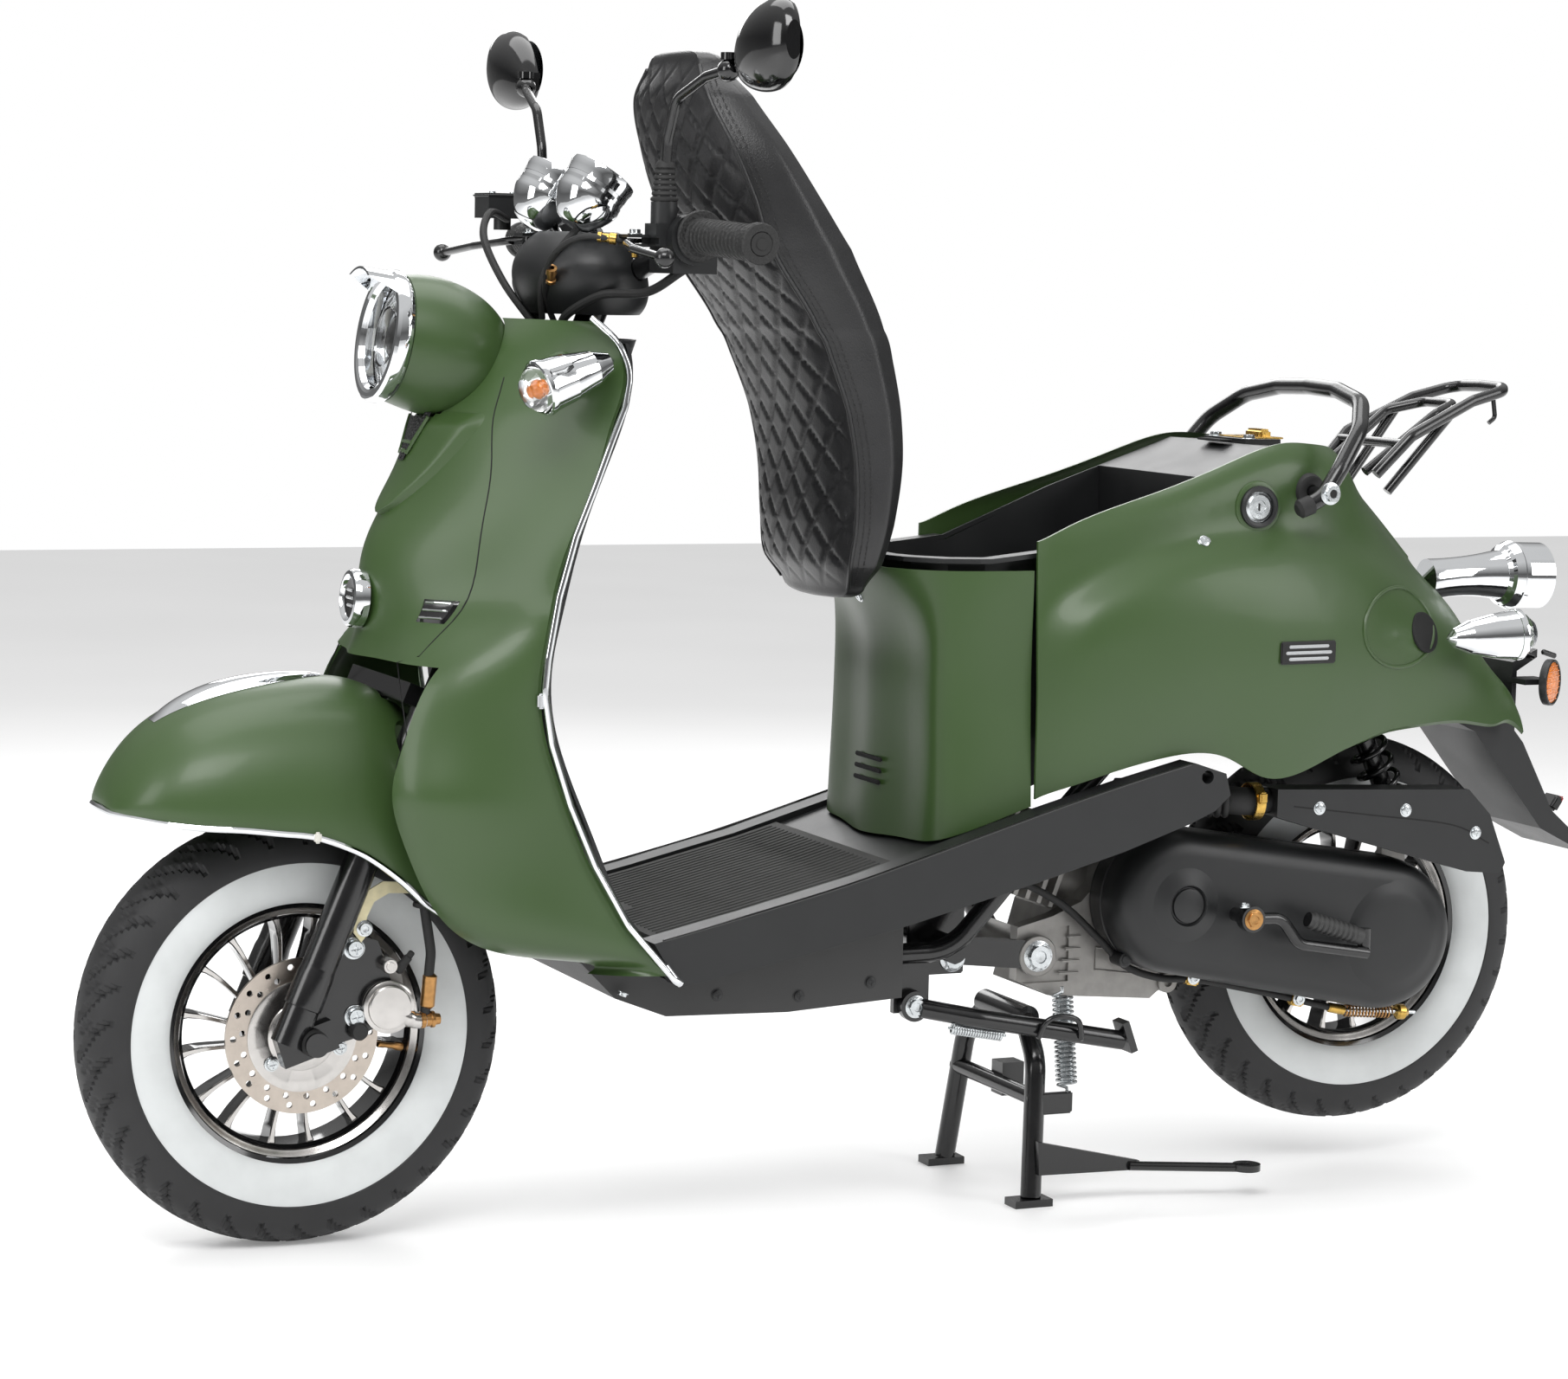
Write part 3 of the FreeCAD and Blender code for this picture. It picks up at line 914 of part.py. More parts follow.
SEAT = [
    # z, underside x, seam x, crown x, half width
    (652, 60, 80, 92, 88), (680, 52, 90, 108, 116), (722, 44, 90, 116, 128), (782, 38, 93, 118, 132),
    (837, 42, 104, 128, 134), (883, 52, 122, 144, 136), (920, 65, 142, 162, 138), (1000, 104, 194, 212, 140),
    (1050, 138, 214, 240, 138), (1100, 170, 234, 258, 128), (1150, 201, 252, 264, 104), (1186, 222, 250, 252, 70),
]


def seat_ring(z, x_under, x_seam, x_crown, half_w):
    right = [(x_under, 0), (x_under, half_w * 0.62), (x_under + 4, half_w * 0.9),
             ((x_under + x_seam) / 2, half_w), (x_seam - 4, half_w * 0.985), (x_seam + (x_crown - x_seam) * 0.62,
                                                                            half_w * 0.8), (x_crown - 3, half_w * 0.45)]
    ring = [(x, y, z) for x, y in right] + [(x_crown, 0, z)]
    return ring + [(x, -y, z) for x, y in right[:0:-1]]


seat_shape = as_node(closed_loft("seat_cushion", [seat_ring(*row) for row in SEAT]), "seat_cushion")


def pan_ring(z, x_under, half_w):
    front, back = x_under + 14, x_under - num("seat_base_t")
    return [(front, half_w * 0.62, z), (front, -half_w * 0.62, z), (back, -half_w * 0.55, z), (back, half_w * 0.55, z)]


pan_wires = []
for z, x_under, x_seam, x_crown, half_w in SEAT[1:-1]:
    ring = pan_ring(z, x_under, half_w)
    pan_wires.append(Part.makePolygon([V(*p) for p in ring + ring[:1]]))
pan = feature("seat_pan", Part.makeLoft(pan_wires, True, True).cut(seat_shape.Shape))
hinge_knuckle = cylinder("hinge_knuckle", (num("hinge_x") - 14, -30, num("hinge_z") + 4), (0, 1, 0), "4", "60")
as_node(fused("seat_base", [pan, hinge_knuckle]), "seat_base")

# ---------------------------------------------------------------- check and export

doc.recompute()
failed = [obj.Name for obj in doc.Objects if "Invalid" in obj.State or "Error" in obj.State]
if failed:
    raise RuntimeError("failed to build: " + ", ".join(failed))
for obj in subparts:
    if obj.Shape.isNull() or not obj.Shape.isValid():
        raise RuntimeError("sub-part %s has no valid shape" % obj.Label)
for obj in subparts:
    obj.Shape.exportStep("parts/%s.step" % obj.Label)
print("%d sub-parts written" % len(subparts))
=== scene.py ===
import math
import bmesh
import bpy
from mathutils import Matrix, Vector
from mathutils.bvhtree import BVHTree


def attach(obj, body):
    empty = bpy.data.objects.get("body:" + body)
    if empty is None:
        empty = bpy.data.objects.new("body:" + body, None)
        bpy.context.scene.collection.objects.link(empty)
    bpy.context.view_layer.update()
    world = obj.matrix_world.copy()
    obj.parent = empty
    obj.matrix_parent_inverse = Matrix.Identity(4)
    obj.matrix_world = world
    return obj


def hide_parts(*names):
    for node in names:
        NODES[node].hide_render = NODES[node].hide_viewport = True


# Moped scooter on its centre stand with the seat raised. Lengths below are millimetres in the CAD frame
# (+X forward, +Y to the rider's left, +Z up) and are turned into metres when a mesh is made.

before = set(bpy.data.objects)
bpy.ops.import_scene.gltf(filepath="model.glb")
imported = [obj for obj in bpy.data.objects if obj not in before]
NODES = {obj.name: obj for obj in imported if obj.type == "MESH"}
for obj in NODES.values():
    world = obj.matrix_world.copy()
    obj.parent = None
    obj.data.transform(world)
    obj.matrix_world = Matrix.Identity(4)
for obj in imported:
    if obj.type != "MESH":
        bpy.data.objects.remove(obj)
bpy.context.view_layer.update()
MM = 0.001


# ---------------------------------------------------------------- materials

def rgb(r, g, b):
    """Linear colour from 0 to 255 display values."""
    return tuple(((v / 255 + 0.055) / 1.055) ** 2.4 if v > 10 else v / 255 / 12.92 for v in (r, g, b)) + (1.0,)


def finish(name, colour, rough=0.5, metal=0.0, mottle=(14.0, 0.06), grain=(900.0, 0.08, 0.0004), rough_span=0.06,
           coat=0.0, spec=0.5, second=None):
    """A surface with slight colour mottling, uneven gloss and a fine grain."""
    m = bpy.data.materials.new(name)
    m.use_nodes = True
    tree = m.node_tree
    shader = tree.nodes["Principled BSDF"]
    coords = tree.nodes.new("ShaderNodeTexCoord")
    broad = tree.nodes.new("ShaderNodeTexNoise")
    broad.inputs["Scale"].default_value = mottle[0]
    broad.inputs["Detail"].default_value = 4.0
    tree.links.new(coords.outputs["Object"], broad.inputs["Vector"])
    ramp = tree.nodes.new("ShaderNodeValToRGB")
    dark = [c * (1 - mottle[1]) for c in colour[:3]] + [1.0]
    light = [min(c * (1 + mottle[1]), 1.0) for c in colour[:3]] + [1.0]
    if second:
        light = list(second)
    ramp.color_ramp.elements[0].position = 0.35
    ramp.color_ramp.elements[0].color = dark
    ramp.color_ramp.elements[1].position = 0.65
    ramp.color_ramp.elements[1].color = light
    tree.links.new(broad.outputs["Fac"], ramp.inputs["Fac"])
    tree.links.new(ramp.outputs["Color"], shader.inputs["Base Color"])
    fine = tree.nodes.new("ShaderNodeTexNoise")
    fine.inputs["Scale"].default_value = grain[0]
    fine.inputs["Detail"].default_value = 3.0
    tree.links.new(coords.outputs["Object"], fine.inputs["Vector"])
    gloss = tree.nodes.new("ShaderNodeMapRange")
    gloss.inputs["To Min"].default_value = max(rough - rough_span, 0.02)
    gloss.inputs["To Max"].default_value = min(rough + rough_span, 1.0)
    tree.links.new(broad.outputs["Fac"], gloss.inputs["Value"])
    tree.links.new(gloss.outputs["Result"], shader.inputs["Roughness"])
    bump = tree.nodes.new("ShaderNodeBump")
    bump.inputs["Strength"].default_value = grain[1]
    bump.inputs["Distance"].default_value = grain[2]
    tree.links.new(fine.outputs["Fac"], bump.inputs["Height"])
    tree.links.new(bump.outputs["Normal"], shader.inputs["Normal"])
    shader.inputs["Metallic"].default_value = metal
    shader.inputs["Specular IOR Level"].default_value = spec
    shader.inputs["Coat Weight"].default_value = coat
    shader.inputs["Coat Roughness"].default_value = 0.12
    return m


def add_second_bump(m, scale, strength, distance, kind="voronoi"):
    """A second, coarser relief on top of the grain."""
    tree = m.node_tree
    shader = tree.nodes["Principled BSDF"]
    coords = tree.nodes["Texture Coordinate"]
    cells = tree.nodes.new("ShaderNodeTexVoronoi" if kind == "voronoi" else "ShaderNodeTexNoise")
    cells.inputs["Scale"].default_value = scale
    tree.links.new(coords.outputs["Object"], cells.inputs["Vector"])
    bump = tree.nodes.new("ShaderNodeBump")
    bump.inputs["Strength"].default_value = strength
    bump.inputs["Distance"].default_value = distance
    tree.links.new(cells.outputs[0], bump.inputs["Height"])
    before = shader.inputs["Normal"].links[0].from_socket
    tree.links.new(before, bump.inputs["Normal"])
    tree.links.new(bump.outputs["Normal"], shader.inputs["Normal"])
    return m


def see_through(name, colour, rough=0.04, ior=1.45):
    m = finish(name, colour, rough, mottle=(30.0, 0.02), grain=(300.0, 0.03, 0.0003), rough_span=0.02)
    shader = m.node_tree.nodes["Principled BSDF"]
    shader.inputs["Transmission Weight"].default_value = 1.0
    shader.inputs["IOR"].default_value = ior
    return m


GREEN = finish("paint_green", rgb(54, 77, 38), 0.40, mottle=(5.0, 0.035), grain=(2400.0, 0.10, 0.00012), rough_span=0.05,
               coat=0.10)
CHROME = finish("chrome_plate", rgb(226, 228, 230), 0.05, 1.0, (20.0, 0.02), (500.0, 0.02, 0.0002), 0.02)
BLACK = finish("plastic_black", rgb(24, 25, 26), 0.42, mottle=(20.0, 0.10), grain=(1600.0, 0.25, 0.0002))
GREY = finish("plastic_dark_grey", rgb(50, 50, 50), 0.55, mottle=(16.0, 0.07), grain=(1500.0, 0.35, 0.00025))
STEEL_BLACK = finish("enamel_black", rgb(17, 17, 18), 0.22, mottle=(40.0, 0.10), grain=(260.0, 0.22, 0.0004), coat=0.3)
RUBBER = finish("rubber_black", rgb(27, 27, 27), 0.66, mottle=(60.0, 0.12), grain=(1800.0, 0.4, 0.0003))
TYRE = finish("tyre_rubber", rgb(33, 33, 34), 0.62, mottle=(35.0, 0.14), grain=(1300.0, 0.4, 0.0004))
WHITEWALL = finish("tyre_white", rgb(205, 208, 208), 0.58, mottle=(26.0, 0.04), grain=(900.0, 0.22, 0.0003))
ALLOY = finish("alloy_cast", rgb(150, 148, 145), 0.45, 0.7, (60.0, 0.10), (1100.0, 0.5, 0.0004))
MACHINED = finish("alloy_machined", rgb(196, 193, 190), 0.22, 1.0, (90.0, 0.06), (700.0, 0.12, 0.0002), 0.08)
DISC_STEEL = finish("disc_steel", rgb(190, 180, 170), 0.30, 1.0, (70.0, 0.07), (900.0, 0.25, 0.0002), 0.08)
ZINC = finish("zinc_bolt", rgb(200, 204, 206), 0.25, 1.0, (160.0, 0.10), (900.0, 0.2, 0.0002), 0.08)
GOLD = finish("zinc_yellow", rgb(196, 160, 84), 0.28, 1.0, (120.0, 0.14), (900.0, 0.2, 0.0002), 0.08)
BRASS = finish("brass_tone", rgb(178, 134, 84), 0.32, 1.0, (140.0, 0.14), (900.0, 0.2, 0.0002), 0.08)
CREAM = finish("zinc_cream", rgb(214, 205, 168), 0.38, 0.4, (90.0, 0.08), (900.0, 0.2, 0.0002), 0.06)
RED = finish("lens_red", rgb(150, 14, 18), 0.16, mottle=(90.0, 0.12), grain=(420.0, 0.35, 0.0005), coat=0.6)
ORANGE = add_second_bump(finish("lens_orange", rgb(226, 122, 14), 0.2, mottle=(120.0, 0.16),
                                grain=(800.0, 0.3, 0.0003), coat=0.6), 260.0, 0.9, 0.0009)
VINYL = add_second_bump(finish("vinyl_black", rgb(33, 33, 34), 0.36, mottle=(24.0, 0.10),
                               grain=(1900.0, 0.35, 0.00025)), 520.0, 0.30, 0.0004)
THREAD = finish("thread_black", rgb(40, 40, 40), 0.7, mottle=(300.0, 0.2), grain=(2500.0, 0.6, 0.0003))
GLOSS = finish("gloss_black", rgb(12, 12, 13), 0.10, mottle=(30.0, 0.06), grain=(300.0, 0.03, 0.0003), coat=0.5,
               rough_span=0.03)
MIRROR = finish("mirror_glass", rgb(222, 228, 232), 0.02, 1.0, (20.0, 0.01), (300.0, 0.01, 0.0001), 0.01)
CLEAR = see_through("lens_clear", (0.97, 0.98, 0.98, 1.0))
DIAL = finish("dial_face", rgb(30, 31, 34), 0.5, mottle=(60.0, 0.05), grain=(900.0, 0.1, 0.0002))
PAINT_WHITE = finish("print_white", rgb(220, 220, 220), 0.5, mottle=(60.0, 0.03), grain=(900.0, 0.1, 0.0002))
MAT = add_second_bump(finish("floor_rubber", rgb(54, 54, 53), 0.78, mottle=(40.0, 0.14), grain=(1500.0, 0.6, 0.0004)),
                      620.0, 0.35, 0.0005)
TIP = finish("clip_white", rgb(208, 206, 198), 0.4, mottle=(60.0, 0.04), grain=(900.0, 0.1, 0.0002))
REFLECTOR = finish("reflector_bright", rgb(216, 218, 222), 0.12, 1.0, (60.0, 0.05), (200.0, 0.1, 0.0006), 0.05)
# Flat near-black for painted shade: shut lines, holes, slots and recesses are drawn as dark sheets where there is only
# shade.
SHADOW_BLACK = finish("deep_shadow_black", rgb(14, 14, 14), 0.8, mottle=(30.0, 0.1), grain=(800.0, 0.3, 0.0003))

FINISHES = {
    "green": (GREEN, "leg_shield headlight_shell body_column side_panel_left side_panel_right front_fender"),
    "chrome": (CHROME, "headlight_bezel shield_trim signal_housings gauges tail_light_housing"),
    "black_plastic": (BLACK, "inner_shield floorboard storage_bucket rear_mudguard neck_cover airbox horn_button "
                             "turn_switch starter_button bar_controls cvt_cover"),
    "dark_grey_plastic": (GREY, "belly_cover"),
    "black_steel": (STEEL_BLACK, "grab_rail luggage_rack frame steering_stem handlebar fork_lowers kick_lever "
                                 "muffler shock_lower shock_upper centre_stand side_stand mirror_stems seat_base"),
    "rubber": (RUBBER, "brake_hose intake_hose hand_grip throttle_grip"),
    "tyre": (TYRE, "front_tyre rear_tyre"),
    "alloy": (ALLOY, "front_rim rear_rim crankcase brake_caliper"),
    "steel": (DISC_STEEL, "ignition_barrel lock_barrel brake_disc shock_spring brake_lever_left brake_lever_right"),
    "clear": (CLEAR, "headlight_lens signal_lenses"),
    "red_lens": (RED, "tail_light_lens"),
    "vinyl": (VINYL, "seat_cushion"),
    "gloss_black": (GLOSS, "mirror_head_left mirror_head_right"),
}
FINISH_OF = {node: m for m, names in FINISHES.values() for node in names.split()}
FINISH_OF.update({"floor_mat": MAT, "brake_lever_left": STEEL_BLACK, "brake_lever_right": STEEL_BLACK,
                  "ignition_barrel": ZINC, "lock_barrel": ZINC, "shock_spring": STEEL_BLACK})
for name, node in NODES.items():
    node.data.materials.clear()
    node.data.materials.append(FINISH_OF.get(name, BLACK))
    node.data.shade_smooth()
    node.data.set_sharp_from_angle(angle=math.radians(34))


# ---------------------------------------------------------------- mesh helpers

def piece(name, verts, faces, mats, body, zone=None, sharp=34):
    """A mesh from millimetre points. zone gives each face its material number."""
    mesh = bpy.data.meshes.new(name)
    mesh.from_pydata([Vector(v) * MM for v in verts], [], faces)
    for m in mats if isinstance(mats, (list, tuple)) else [mats]:
        mesh.materials.append(m)
    if zone:
        for polygon, index in zip(mesh.polygons, zone):
            polygon.material_index = index
    tidy = bmesh.new()
    tidy.from_mesh(mesh)
    bmesh.ops.remove_doubles(tidy, verts=tidy.verts, dist=0.000004)
    bmesh.ops.recalc_face_normals(tidy, faces=tidy.faces)
    tidy.to_mesh(mesh)
    tidy.free()
    mesh.validate()
    mesh.shade_smooth()
    mesh.set_sharp_from_angle(angle=math.radians(sharp))
    obj = bpy.data.objects.new(name, mesh)
    bpy.context.scene.collection.objects.link(obj)
    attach(obj, body)
    return obj


def lattice(rows, close_u=False, close_v=False, cap_ends=False):
    """Faces over a grid of points, row by row."""
    count = len(rows[0])
    verts = [p for row in rows for p in row]
    faces = []
    for i in range(len(rows) if close_v else len(rows) - 1):
        ni = (i + 1) % len(rows)
        for j in range(count if close_u else count - 1):
            nj = (j + 1) % count
            faces.append((i * count + j, i * count + nj, ni * count + nj, ni * count + j))
    if cap_ends:
        faces.append(tuple(range(count))[::-1])
        faces.append(tuple((len(rows) - 1) * count + j for j in range(count)))
    return verts, faces


def frame_of(axis):
    axis = Vector(axis).normalized()
    side = axis.cross(Vector((0, 0, 1)))
    if side.length < 0.05:
        side = axis.cross(Vector((1, 0, 0)))
    side.normalize()
    return axis, side, axis.cross(side)


def lathe(name, profile, at, axis, mats, body, segments=56, sharp=34):
    """A turned shape. The profile gives (radius, distance along the axis, material number)."""
    axis, side, up = frame_of(axis)
    at = Vector(at)
    rows = []
    for entry in profile:
        r, h = entry[0], entry[1]
        rows.append([at + axis * h + (side * math.cos(2 * math.pi * k / segments)
                                      + up * math.sin(2 * math.pi * k / segments)) * max(r, 0.01)
                     for k in range(segments)])
    verts, faces = lattice(rows, close_u=True)
    zone = [(profile[i][2] if len(profile[i]) > 2 else 0) for i in range(len(rows) - 1) for k in range(segments)]
    return piece(name, verts, faces, mats, body, zone, sharp)


def smooth_line(points, per_run=8, closed=False):
    """Points along a soft curve through the given ones."""
    pts = [Vector(p) for p in points]
    count = len(pts)
    out = []
    for i in range(count if closed else count - 1):
        p0 = pts[(i - 1) % count] if closed or i > 0 else pts[0] * 2 - pts[1]
        p1, p2 = pts[i], pts[(i + 1) % count]
        p3 = pts[(i + 2) % count] if closed or i + 2 < count else pts[-1] * 2 - pts[-2]
        for k in range(per_run):
            t = k / per_run
            out.append(0.5 * (2 * p1 + (p2 - p0) * t + (2 * p0 - 5 * p1 + 4 * p2 - p3) * t * t
                              + (3 * p1 - p0 - 3 * p2 + p3) * t ** 3))
    if not closed:
        out.append(pts[-1])
    return out


def rod(name, points, radius, mats, body, per_run=8, sides=12, closed=False, flat=1.0, straight=False):
    """A bar, hose or cord of round (or flattened) section along a soft curve, with rounded ends."""
    line = [Vector(p) for p in points] if straight else smooth_line(points, per_run, closed)
    count = len(line)
    rows = []
    side = None
    for i, p in enumerate(line):
        ahead = line[(i + 1) % count] if closed or i + 1 < count else p
        behind = line[i - 1] if closed or i > 0 else p
        axis = (ahead - behind).normalized()
        if side is None:
            _, side, _ = frame_of(axis)
        side = (side - axis * side.dot(axis)).normalized()
        up = axis.cross(side)
        r = radius[min(int(i * len(radius) / count), len(radius) - 1)] if isinstance(radius, (list, tuple)) else radius
        ring = [p + side * (r * math.cos(2 * math.pi * k / sides)) + up * (r * flat * math.sin(2 * math.pi * k / sides))
                for k in range(sides)]
        if not closed and i == 0:
            rows.append([p - axis * r * 0.35 + (q - p) * 0.6 for q in ring])
        rows.append(ring)
        if not closed and i == count - 1:
            rows.append([p + axis * r * 0.35 + (q - p) * 0.6 for q in ring])
    verts, faces = lattice(rows, close_u=True, close_v=closed, cap_ends=not closed)
    return piece(name, verts, faces, mats, body)


def block(name, centre, size, mats, body, bevel=1.5, turn=(0, 0, 0), taper=1.0):
    """A moulded block with rounded edges, turned by degrees about X, Y and Z; taper narrows its top."""
    work = bmesh.new()
    bmesh.ops.create_cube(work, size=1.0)
    for v in work.verts:
        scale = taper if v.co.z > 0 else 1.0
        v.co = Vector((v.co.x * size[0] * scale, v.co.y * size[1] * scale, v.co.z * size[2]))
    bmesh.ops.bevel(work, geom=work.edges[:], offset=bevel, segments=3, affect="EDGES")
    spin = (Matrix.Rotation(math.radians(turn[2]), 3, "Z") @ Matrix.Rotation(math.radians(turn[1]), 3, "Y")
            @ Matrix.Rotation(math.radians(turn[0]), 3, "X"))
    work.verts.index_update()
    verts = [spin @ v.co + Vector(centre) for v in work.verts]
    faces = [[v.index for v in f.verts] for f in work.faces]
    work.free()
    return piece(name, verts, faces, mats, body)


def bolt(name, at, axis, radius, height, mats, body, kind="hex"):
    """A bolt head on a washer, with a hexagon head, or a round head with a recess."""
    axis, side, up = frame_of(axis)
    at = Vector(at)
    steps = ((1.32, 0.0), (1.32, 0.16), (1.26, 0.2), (1.02, 0.2), (1.0, 0.28), (1.0, 0.86), (0.9, 1.0),
             (0.52, 1.0), (0.46, 0.8), (0.01, 0.76))
    rows = []
    for scale, rise in steps:
        ring = []
        for k in range(36):
            a = 2 * math.pi * k / 36
            hexed = 1.0
            if kind == "hex" and 0.2 < rise < 0.9 and scale <= 1.0 and scale > 0.6:
                hexed = 1.0 / math.cos((a % (math.pi / 3)) - math.pi / 6) * 0.88
            if kind == "cross" and scale < 0.6:
                hexed = 1.25 if (a % (math.pi / 2)) < 0.5 else 0.55
            ring.append(at + axis * height * rise + (side * math.cos(a) + up * math.sin(a)) * radius * scale * hexed)
        rows.append(ring)
    verts, faces = lattice(rows, close_u=True)
    return piece(name, verts, faces, mats, body)


def spring(name, start, end, radius, wire, turns, mats, body, hooks=0.0):
    """A coil spring between two points, with straight hooked ends."""
    start, end = Vector(start), Vector(end)
    axis, side, up = frame_of(end - start)
    length = (end - start).length
    line = []
    if hooks:
        line += [start, start + axis * hooks * 0.6]
    total = int(turns * 14)
    for k in range(total + 1):
        a = 2 * math.pi * k / 14
        line.append(start + axis * (hooks + (length - 2 * hooks) * k / total)
                    + (side * math.cos(a) + up * math.sin(a)) * radius)
    if hooks:
        line += [end - axis * hooks * 0.6, end]
    return rod(name, line, wire, mats, body, sides=8, straight=True)


TREES = {}


def surface(node, start, towards):
    """Where a ray first meets a CAD node, in millimetres, with the surface normal there."""
    if node not in TREES:
        mesh = NODES[node].data
        TREES[node] = BVHTree.FromPolygons([v.co.copy() for v in mesh.vertices],
                                           [tuple(p.vertices) for p in mesh.polygons])
    towards = Vector(towards).normalized()
    hit, normal, _, _ = TREES[node].ray_cast(Vector(start) * MM, towards)
    if hit is None:
        hit, normal, _, _ = TREES[node].find_nearest(Vector(start) * MM)
    if normal.dot(towards) > 0:
        normal = -normal
    return hit / MM, normal


def seam(name, node, points, towards, body, width=1.6, mats=None, lift=0.25, per_run=6):
    """A narrow shut line drawn on a CAD surface as a dark strip of painted shade in the gap, following it from point to
    point.
    """
    line = smooth_line(points, per_run)
    hits = [surface(node, p, towards) for p in line]
    rows = []
    for i, (p, n) in enumerate(hits):
        ahead = hits[min(i + 1, len(hits) - 1)][0] - hits[max(i - 1, 0)][0]
        across = ahead.normalized().cross(n).normalized() * (width / 2)
        rows.append([p + across - n * 0.6, p + across + n * lift, p - across + n * lift, p - across - n * 0.6])
    verts, faces = lattice(rows)
    return piece(name, verts, faces, mats or SHADOW_BLACK, body)


SIDES = (("left", 1), ("right", -1))


# ---------------------------------------------------------------- wheels

def tyre_piece(name, node, x, z, body):
    """A whitewall tyre: curved diagonal grooves across the tread, white band on both walls."""
    section = [(131, 35), (134, 38.5), (140, 42), (150, 44.6), (160, 45.4), (168, 45.4), (172.2, 45.0), (173.2, 46.0),
               (176, 46.2), (182, 45.4), (190, 43.2), (196, 40.6), (200.5, 37.8), (204.5, 34.2), (207.5, 30.5),
               (210, 26.4), (212, 22), (213.6, 17.4), (214.8, 12.6), (215.5, 8.4), (215.9, 4.2), (216, 0)]
    full = section + [(r, -y) for r, y in section[-2::-1]]
    blocks = 34
    turns = blocks * 20
    rows = []
    for i in range(turns):
        a = 2 * math.pi * i / turns
        ring = []
        for r, y in full:
            lower = 0.0
            reach = abs(y)
            if 176.5 < r and 7.0 < reach < 42.0:
                lean = (reach / 42.0) ** 1.5 * 1.15
                shift = 0.5 if y < 0 else 0.0
                phase = (a * blocks / (2 * math.pi) - lean + shift) % 1.0
                wide = 0.11 if reach < 32 else 0.08
                if abs(phase - 0.5) < wide:
                    lower = 3.4
                second = (phase + 0.5) % 1.0
                if 14.0 < reach < 30.0 and abs(second - 0.5) < 0.07:
                    lower = 2.4
            rr = r - lower
            yy = y - math.copysign(lower * 0.5, y) if reach > 30 else y
            ring.append((x + rr * math.cos(a), yy, z + rr * math.sin(a)))
        rows.append(ring)
    count = len(full)
    verts, faces = lattice(rows, close_v=True)
    zone = []
    for i in range(turns):
        for j in range(count - 1):
            r = (full[j][0] + full[j + 1][0]) / 2
            zone.append(1 if r < 172.5 else 0)
    obj = piece(name, verts, faces, [TYRE, WHITEWALL], body, zone, sharp=38)
    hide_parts(node)
    return obj


def rim_piece(name, node, x, z, body, hub_y):
    """A cast wheel: polished lip, black well and sixteen thin curved spokes with machined faces."""
    band = [(130.8, 35, 0), (131.4, 33, 0), (127.0, 31.4, 0), (122.5, 27.5, 0), (119.5, 25.5, 0), (118.4, 23.5, 1),
            (114.5, 19.5, 1), (113.8, 8, 1), (113.8, -8, 1), (114.5, -19.5, 1), (118.4, -23.5, 0), (122.5, -27.5, 0),
            (127.0, -31.4, 0), (131.4, -33, 0), (130.8, -35, 0), (126.5, -33, 1), (121.5, -20, 1), (121.5, 20, 1),
            (126.5, 33, 1), (130.8, 35, 1)]
    lathe(name + "_band", band, (x, 0, z), (0, 1, 0), [MACHINED, GLOSS], body, 120, 24)
    hub = [(10, hub_y, 0), (16, hub_y, 0), (18, hub_y - 3, 0), (30, hub_y - 5, 1), (36, hub_y - 9, 1), (38, 14, 1),
           (40, -14, 1), (36, -hub_y + 10, 1), (30, -hub_y + 5, 1), (18, -hub_y + 3, 0), (16, -hub_y, 0),
           (10, -hub_y, 0)]
    lathe(name + "_hub", hub, (x, 0, z), (0, 1, 0), [ALLOY, BLACK], body, 56, 24)
    verts, faces, zone = [], [], []
    for k in range(16):
        base = 2 * math.pi * k / 16 + 0.08
        rows = []
        for i in range(13):
            t = i / 12
            r = 35 + (115.5 - 35) * t
            a = base + 0.16 * math.sin(t * math.pi * 0.62) * (1 if k % 2 else 0.72)
            half = (4.6 - 1.6 * math.sin(t * math.pi)) + (1.4 if i == 12 else 0.0)
            front = 13.5 + 3.5 * t
            rear = -9.0 - 4.0 * t
            ring = []
            for off, y in ((-1.0, front - 1.6), (-0.62, front), (0.62, front), (1.0, front - 1.6),
                           (1.0, rear + 1.6), (0.62, rear), (-0.62, rear), (-1.0, rear + 1.6)):
                w = off * half * 0.72
                ring.append((x + r * math.cos(a) - w * math.sin(a), y, z + r * math.sin(a) + w * math.cos(a)))
            rows.append(ring)
        start = len(verts)
        spoke_verts, spoke_faces = lattice(rows, close_u=True)
        verts += spoke_verts
        faces += [tuple(start + v for v in f) for f in spoke_faces]
        zone += [(0 if j in (0, 1, 2) else 1) for _ in range(len(rows) - 1) for j in range(8)]
    spokes = piece(name + "_spokes", verts, faces, [MACHINED, GLOSS], body, zone, 30)
    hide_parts(node)
    stem_at = Vector((x - 112 * math.cos(0.2), 19, z - 112 * math.sin(0.2)))
    lathe(name + "_valve", [(0, -2), (4.4, -2), (4.2, 5), (3.0, 9), (2.6, 22), (3.1, 22.5), (3.1, 30), (2.4, 31), (0, 31)],
          stem_at, (0.86, 0.42, 0.2), BRASS, body, 20)


FX, FZ, RX, RZ = 644.0, 216.0, -567.0, 263.0
tyre_piece("front_tyre_tread", "front_tyre", FX, FZ, "front_wheel")
rim_piece("front_wheel_cast", "front_rim", FX, FZ, "front_wheel", 39.5)
tyre_piece("rear_tyre_tread", "rear_tyre", RX, RZ, "rear_wheel")
rim_piece("rear_wheel_cast", "rear_rim", RX, RZ, "rear_wheel", 43.5)

